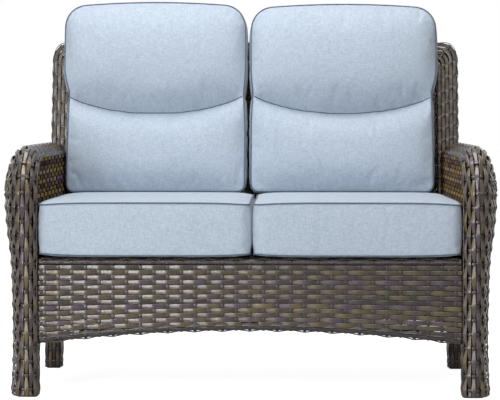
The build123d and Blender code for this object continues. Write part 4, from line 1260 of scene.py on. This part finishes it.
def piping(name, loop, body, radius=2.1, closed=True):
    """A round cord sewn along a seam, either a loop or a line with two ends."""
    line = np.array(loop, float)
    if closed:
        line = np.concatenate([line, line[:1]])
    run = running_length(line)
    count = int(run[-1] / CORD_STEP)
    line = resample(line, run, np.linspace(0, run[-1], count, endpoint=not closed))
    if closed:
        for _ in range(2):
            line = (np.roll(line, 1, 0) + 2 * line + np.roll(line, -1, 0)) / 4
        tangent = unit(np.roll(line, -1, 0) - np.roll(line, 1, 0))
        out = line - line.mean(0)
    else:
        tangent = unit(np.gradient(line, axis=0))
        out = np.zeros_like(line) + FORWARD
    out = unit(out - tangent * (out * tangent).sum(1, keepdims=True))
    up = np.cross(tangent, out)
    angle = math.tau * np.arange(CORD_SIDES)[:, None] / CORD_SIDES
    points = line[:, None] + radius * (np.cos(angle) * out[:, None] + np.sin(angle) * up[:, None])
    faces = []
    for i in range(count if closed else count - 1):
        here, there = i * CORD_SIDES, (i + 1) % count * CORD_SIDES
        for k in range(CORD_SIDES):
            k1 = (k + 1) % CORD_SIDES
            faces.append([here + k, there + k, there + k1, here + k1])
    if not closed:
        total = count * CORD_SIDES
        faces.append(list(range(CORD_SIDES)))
        faces.append(list(range(total - 1, total - CORD_SIDES - 1, -1)))
    mesh = new_mesh(name, (points.reshape(-1, 3) / 1000).tolist(), faces, PIPING)
    place_piece(mesh, body, [])


CUSHION_CELLS = 76
SEAT_SPLIT = 6.0
SEAT_BOTTOM = 374.5
SEAT_TOP = 518.0
SEAT_FRONT = -370.66
SEAT_REAR = 216.3
SEAT_DRAW = 2.5
SEAT_MIDDLE_GAP = 4.5
SEAT_ARM_GAP = 4.6
SEAT_RADII = (28, 28, 14, 14)
SEAT_DROOP = 6.0
SEAT_BULGE = 2.0
SEAT_RAISE = 2.6
SEAT_DOME = 4.5
SEAT_LIFT = 5.0
SEAT_HOLLOW = 1.2
NOMINAL_HALF = 280.0


def make_seat_cushion(side):
    sign = -1 if side == "left" else 1
    inner = SEAT_SPLIT + sign * SEAT_MIDDLE_GAP
    mid_y = (SEAT_FRONT + SEAT_REAR) / 2
    half_y = (SEAT_REAR - SEAT_FRONT) / 2

    def plan(a, b):
        x, y, scale = round_corners(
            a * NOMINAL_HALF, b * half_y, NOMINAL_HALF, half_y, SEAT_RADII
        )
        outer = sign * (inner_face_x(mid_y + y) - SEAT_ARM_GAP)
        half = abs(outer - inner) / 2
        pull = SEAT_DRAW * (1 - (y / half_y) ** 2) * (abs(x) / NOMINAL_HALF) ** 3
        return (inner + outer) / 2 + x / NOMINAL_HALF * (half - pull), mid_y + y, scale

    def dome(scale):
        return (1 - scale**4) ** 0.5 if scale < 1 else 0.0

    middle_x = (inner + sign * (inner_face_x(mid_y) - 4.0)) / 2
    half_x = abs(middle_x - inner)

    def droop(x, y):
        corner = abs(x - middle_x) / half_x * abs(y - mid_y) / half_y
        return SEAT_DROOP * min(1.0, corner) ** 5

    def top(x, y, scale):
        return SEAT_TOP + SEAT_RAISE + SEAT_DOME * dome(scale) - droop(x, y)

    def bottom(x, y, scale):
        return SEAT_BOTTOM + SEAT_LIFT - SEAT_HOLLOW * dome(scale) + droop(x, y)

    mesh, loops = shell(
        f"seat_cushion_cover_{side}", CUSHION_CELLS, 18, plan, top, bottom, SEAT_BULGE,
        lambda x, y, height: (x, y, height),
    )
    obj = fill_cover(mesh, "seat", side, loops[0] + loops[1], 0.004, 3.0, 0.012)
    for loop, level in zip(loops, ("top", "bottom")):
        piping(f"seat_piping_{level}_{side}", loop, f"seat_cushion_{side}")


CUSHION_LOW = 158.97
CUSHION_HIGH = 684.97
CUSHION_EDGE = 112.0
CUSHION_LIP = 5.0
BACK_RADII = (20, 20, 64, 64)
SMILE_END = 421.0
SMILE_RISE = 51.0
LOWER_SWELL = 30.0
HEAD_SWELL = 44.0
VALLEY = 27.0
VALLEY_REACH = 11.0
PUCKER = 2.2
HEAD_ARCH = 14.0
WAIST_REACH = 45.0
SETTLE_REACH = 190.0
CENTRE_AND_HALF = {"left": (-288.2, 263.2), "right": (260.0, 268.6)}
LOWER_HEAD = {"left": 2.0, "right": 8.0}


def smile_at(share):
    """Height up the back of the crease, lowest at the middle of the cushion."""
    return SMILE_END - SMILE_RISE * (1 - abs(share) ** 2.3)


def crease_line(obj, half_x, world):
    """The crease on the filled cover, found from in front of it."""
    tree = bvhtree.BVHTree.FromPolygons(
        [v.co * 1000 for v in obj.data.vertices], [f.vertices[:] for f in obj.data.polygons]
    )
    line = []
    for share in np.linspace(-0.965, 0.965, 121):
        x, up = share * half_x, smile_at(share)
        start, stop = Vector(world(x, up, 240.0)), Vector(world(x, up, 60.0))
        hit = tree.ray_cast(start, (stop - start).normalized())[0]
        if hit is not None:
            line.append(hit + (start - stop).normalized() * 0.2)
    return line


def make_back_cushion(side):
    centre_x, half_x = CENTRE_AND_HALF[side]
    outer_sign = -1 if side == "left" else 1
    tallest = CUSHION_HIGH - LOWER_HEAD[side]
    half_u = (tallest - CUSHION_LOW) / 2
    mid_u = (tallest + CUSHION_LOW) / 2

    def plan(a, b):
        x, u, scale = round_corners(a * half_x, b * half_u, half_x, half_u, BACK_RADII)
        up = mid_u + u
        waist = math.exp(-((max(0.0, up - SMILE_END) / WAIST_REACH) ** 2))
        foot = min(1.0, max(0.0, SMILE_END - up) / (SMILE_END - CUSHION_LOW))
        narrower = 15.0 - 4.0 * foot if x * outer_sign > 0 else 5.0 - 4.0 * min(1.0, 3 * foot)
        x *= 1 - narrower * waist / half_x
        arch = HEAD_ARCH * (1 - (x / half_x) ** 2) * max(0.0, u / half_u) ** 3
        return x, up + arch, scale

    def face(x, up, scale):
        share = max(-1.0, min(1.0, x / half_x))
        crease = smile_at(share)
        wide = max(0.0, 1 - abs(share) ** 3.4) ** 0.5
        high = tallest + HEAD_ARCH * (1 - share**2)
        if up < crease:
            t = (up - CUSHION_LOW) / (crease - CUSHION_LOW)
            swell = LOWER_SWELL
        else:
            t = max(0.0, (up - crease) / (high - crease)) ** 1.35
            swell = HEAD_SWELL
        t = max(0.0, min(1.0, t))
        body = max(0.0, 1 - abs(2 * t - 1) ** 2.2) ** 0.6
        valley = VALLEY * math.exp(-abs(up - crease) / VALLEY_REACH) * (0.45 + 0.55 * wide)
        edge_fade = min(1.0, (1 - scale) * 9) if scale < 1 else 0.0
        reach = math.hypot((abs(x) - half_x + 12) / 46, (up - SMILE_END) / 40)
        turn = math.atan2(up - SMILE_END, half_x - abs(x))
        pucker = PUCKER * math.exp(-reach**2) * math.sin(9 * turn)
        return CUSHION_EDGE - 5 + swell * body * wide - (valley - pucker) * edge_fade

    def rear(x, up, scale):
        return 1.0 + (4.0 * scale**6 if scale <= 1 else 4.0)

    def world(x, up, forward):
        settle = max(0.0, min(1.0, (CUSHION_LOW + SETTLE_REACH - up) / SETTLE_REACH))
        x *= 0.986 + 0.014 * forward / CUSHION_EDGE
        return tuple(back_point(x + centre_x, up - forward * math.tan(TILT) * settle, forward))

    mesh, loops = shell(
        f"back_cushion_cover_{side}", CUSHION_CELLS, 14, plan, face, rear, CUSHION_LIP, world
    )
    crease = []
    for share in np.linspace(-0.985, 0.985, 161):
        x, up = share * half_x, smile_at(share)
        crease.append(world(x, up, face(x, up, 0.8)))
    obj = fill_cover(mesh, "back", side, loops[0] + loops[1] + crease, 0.012, 4.0, 0.014)
    body = f"back_cushion_{side}"
    for loop, level in zip(loops, ("front", "rear")):
        piping(f"back_piping_{level}_{side}", loop, body)
    # A cord along the crease in the piping's colour: a sewn seam, and its dark line is also
    # painted shade for the fold under the head roll.
    piping(f"back_crease_shade_cord_{side}", crease_line(obj, half_x, world), body, 1.5, closed=False)


# Carried-over pieces get their finish

def paint_frame():
    """Steel for the frame, and each other node by the word in its name."""
    finishes = {
        "seat_foam": FOAM, "back_fill": FILL, "zipper": ZIPPER, "slider": SLIDER,
        "foot_glides": GLIDE, "seat_bolts": BOLT,
    }
    for name, node in frame["nodes"].items():
        chosen = STEEL
        for word, material in finishes.items():
            if word in name:
                chosen = material
        node.data.materials.clear()
        node.data.materials.append(chosen)


paint_frame()
for side, seed in (("right", 101), ("left", 202)):
    make_arm_band(side, seed)
    make_leg_sleeve(side, seed + 1)
    make_inner_panel(side, seed + 2)
    make_outer_panel(side, seed + 3)
    make_rear_cap(side, seed + 4)
    make_rear_leg(side, seed + 5)
    make_seat_cushion(side)
    make_back_cushion(side)
make_apron()
make_wraps()
make_rear_apron()
make_border()
make_back_face("woven_back_front", "back_front_weave", 0.0, 1, 81)
make_back_face("woven_back_rear", "back_rear_weave", -BACK_THICKNESS, -1, 83)
make_deck()


# Floor, backdrop and light

FLOOR_WHITE = 0.90
FLOOR_SHINE = 0.10
WORLD_LIGHT = 0.14


def make_floor():
    """A wide matt floor that shows white to what looks at it and keeps shadows."""
    n = Nodes(bpy.data.materials.new("floor"))
    n.tree.nodes.remove(n.tree.nodes["Principled BSDF"])
    matt = n.add("ShaderNodeBsdfDiffuse")
    matt.inputs["Color"].default_value = (0.86, 0.86, 0.86, 1)
    glow = n.add("ShaderNodeEmission")
    glow.inputs["Color"].default_value = (1, 1, 1, 1)
    path = n.add("ShaderNodeLightPath").outputs
    seen = n.math("ADD", path["Is Camera Ray"], path["Is Transmission Ray"])
    shone = n.math("MULTIPLY", path["Is Glossy Ray"], FLOOR_SHINE)
    n.link(n.math("ADD", n.math("MULTIPLY", seen, FLOOR_WHITE), shone), glow.inputs["Strength"])
    total = n.add("ShaderNodeAddShader")
    n.link(matt.outputs[0], total.inputs[0])
    n.link(glow.outputs[0], total.inputs[1])
    n.link(total.outputs[0], n.tree.nodes["Material Output"].inputs["Surface"])
    reach = 30.0
    corners = [(-reach, -reach, 0), (reach, -reach, 0), (reach, reach, 0), (-reach, reach, 0)]
    floor = bpy.data.objects.new("floor", new_mesh("floor", corners, [(0, 1, 2, 3)], n.owner))
    SCENE.collection.objects.link(floor)


def make_world():
    """Dim light from all round; rays that show the background get white."""
    SCENE.world = bpy.data.worlds.new("studio")
    n = Nodes(SCENE.world)
    light = n.tree.nodes["Background"]
    white = n.add("ShaderNodeBackground")
    for node, strength in ((light, WORLD_LIGHT), (white, 1.0)):
        node.inputs["Color"].default_value = (1, 1, 1, 1)
        node.inputs["Strength"].default_value = strength
    path = n.add("ShaderNodeLightPath").outputs
    seen = n.math("MAXIMUM", path["Is Camera Ray"], path["Is Glossy Ray"])
    seen = n.math("MAXIMUM", seen, path["Is Transmission Ray"])
    blend = n.add("ShaderNodeMixShader")
    for socket, source in zip(blend.inputs, (seen, light.outputs[0], white.outputs[0])):
        n.link(source, socket)
    n.link(blend.outputs[0], n.tree.nodes["World Output"].inputs["Surface"])


def softbox(name, place, target, size, power):
    """A rectangular lamp at a place in metres, turned to a target."""
    data = bpy.data.lights.new(name, "AREA")
    data.shape = "RECTANGLE"
    data.size, data.size_y = size
    data.energy = power
    lamp = bpy.data.objects.new(name, data)
    SCENE.collection.objects.link(lamp)
    lamp.location = place
    direction = Vector(target) - Vector(place)
    lamp.rotation_euler = direction.to_track_quat("-Z", "Y").to_euler()


make_floor()
make_world()
softbox("key", (-1.0, -2.3, 3.3), (0, -0.1, 0.6), (1.5, 1.5), 9)
softbox("strip", (-1.45, -3.2, 0.66), (0, -0.3, 0.35), (0.55, 1.25), 38)
softbox("over", (-0.1, -4.0, 1.95), (0, -0.3, 0.4), (3.2, 0.35), 32)
softbox("side", (-4.2, -1.9, 1.6), (0, -0.2, 0.5), (1.4, 2.4), 14)
softbox("top", (-0.2, -0.5, 3.0), (0, 0, 0.5), (2.2, 1.6), 66)

SCENE.view_settings.view_transform = "Standard"
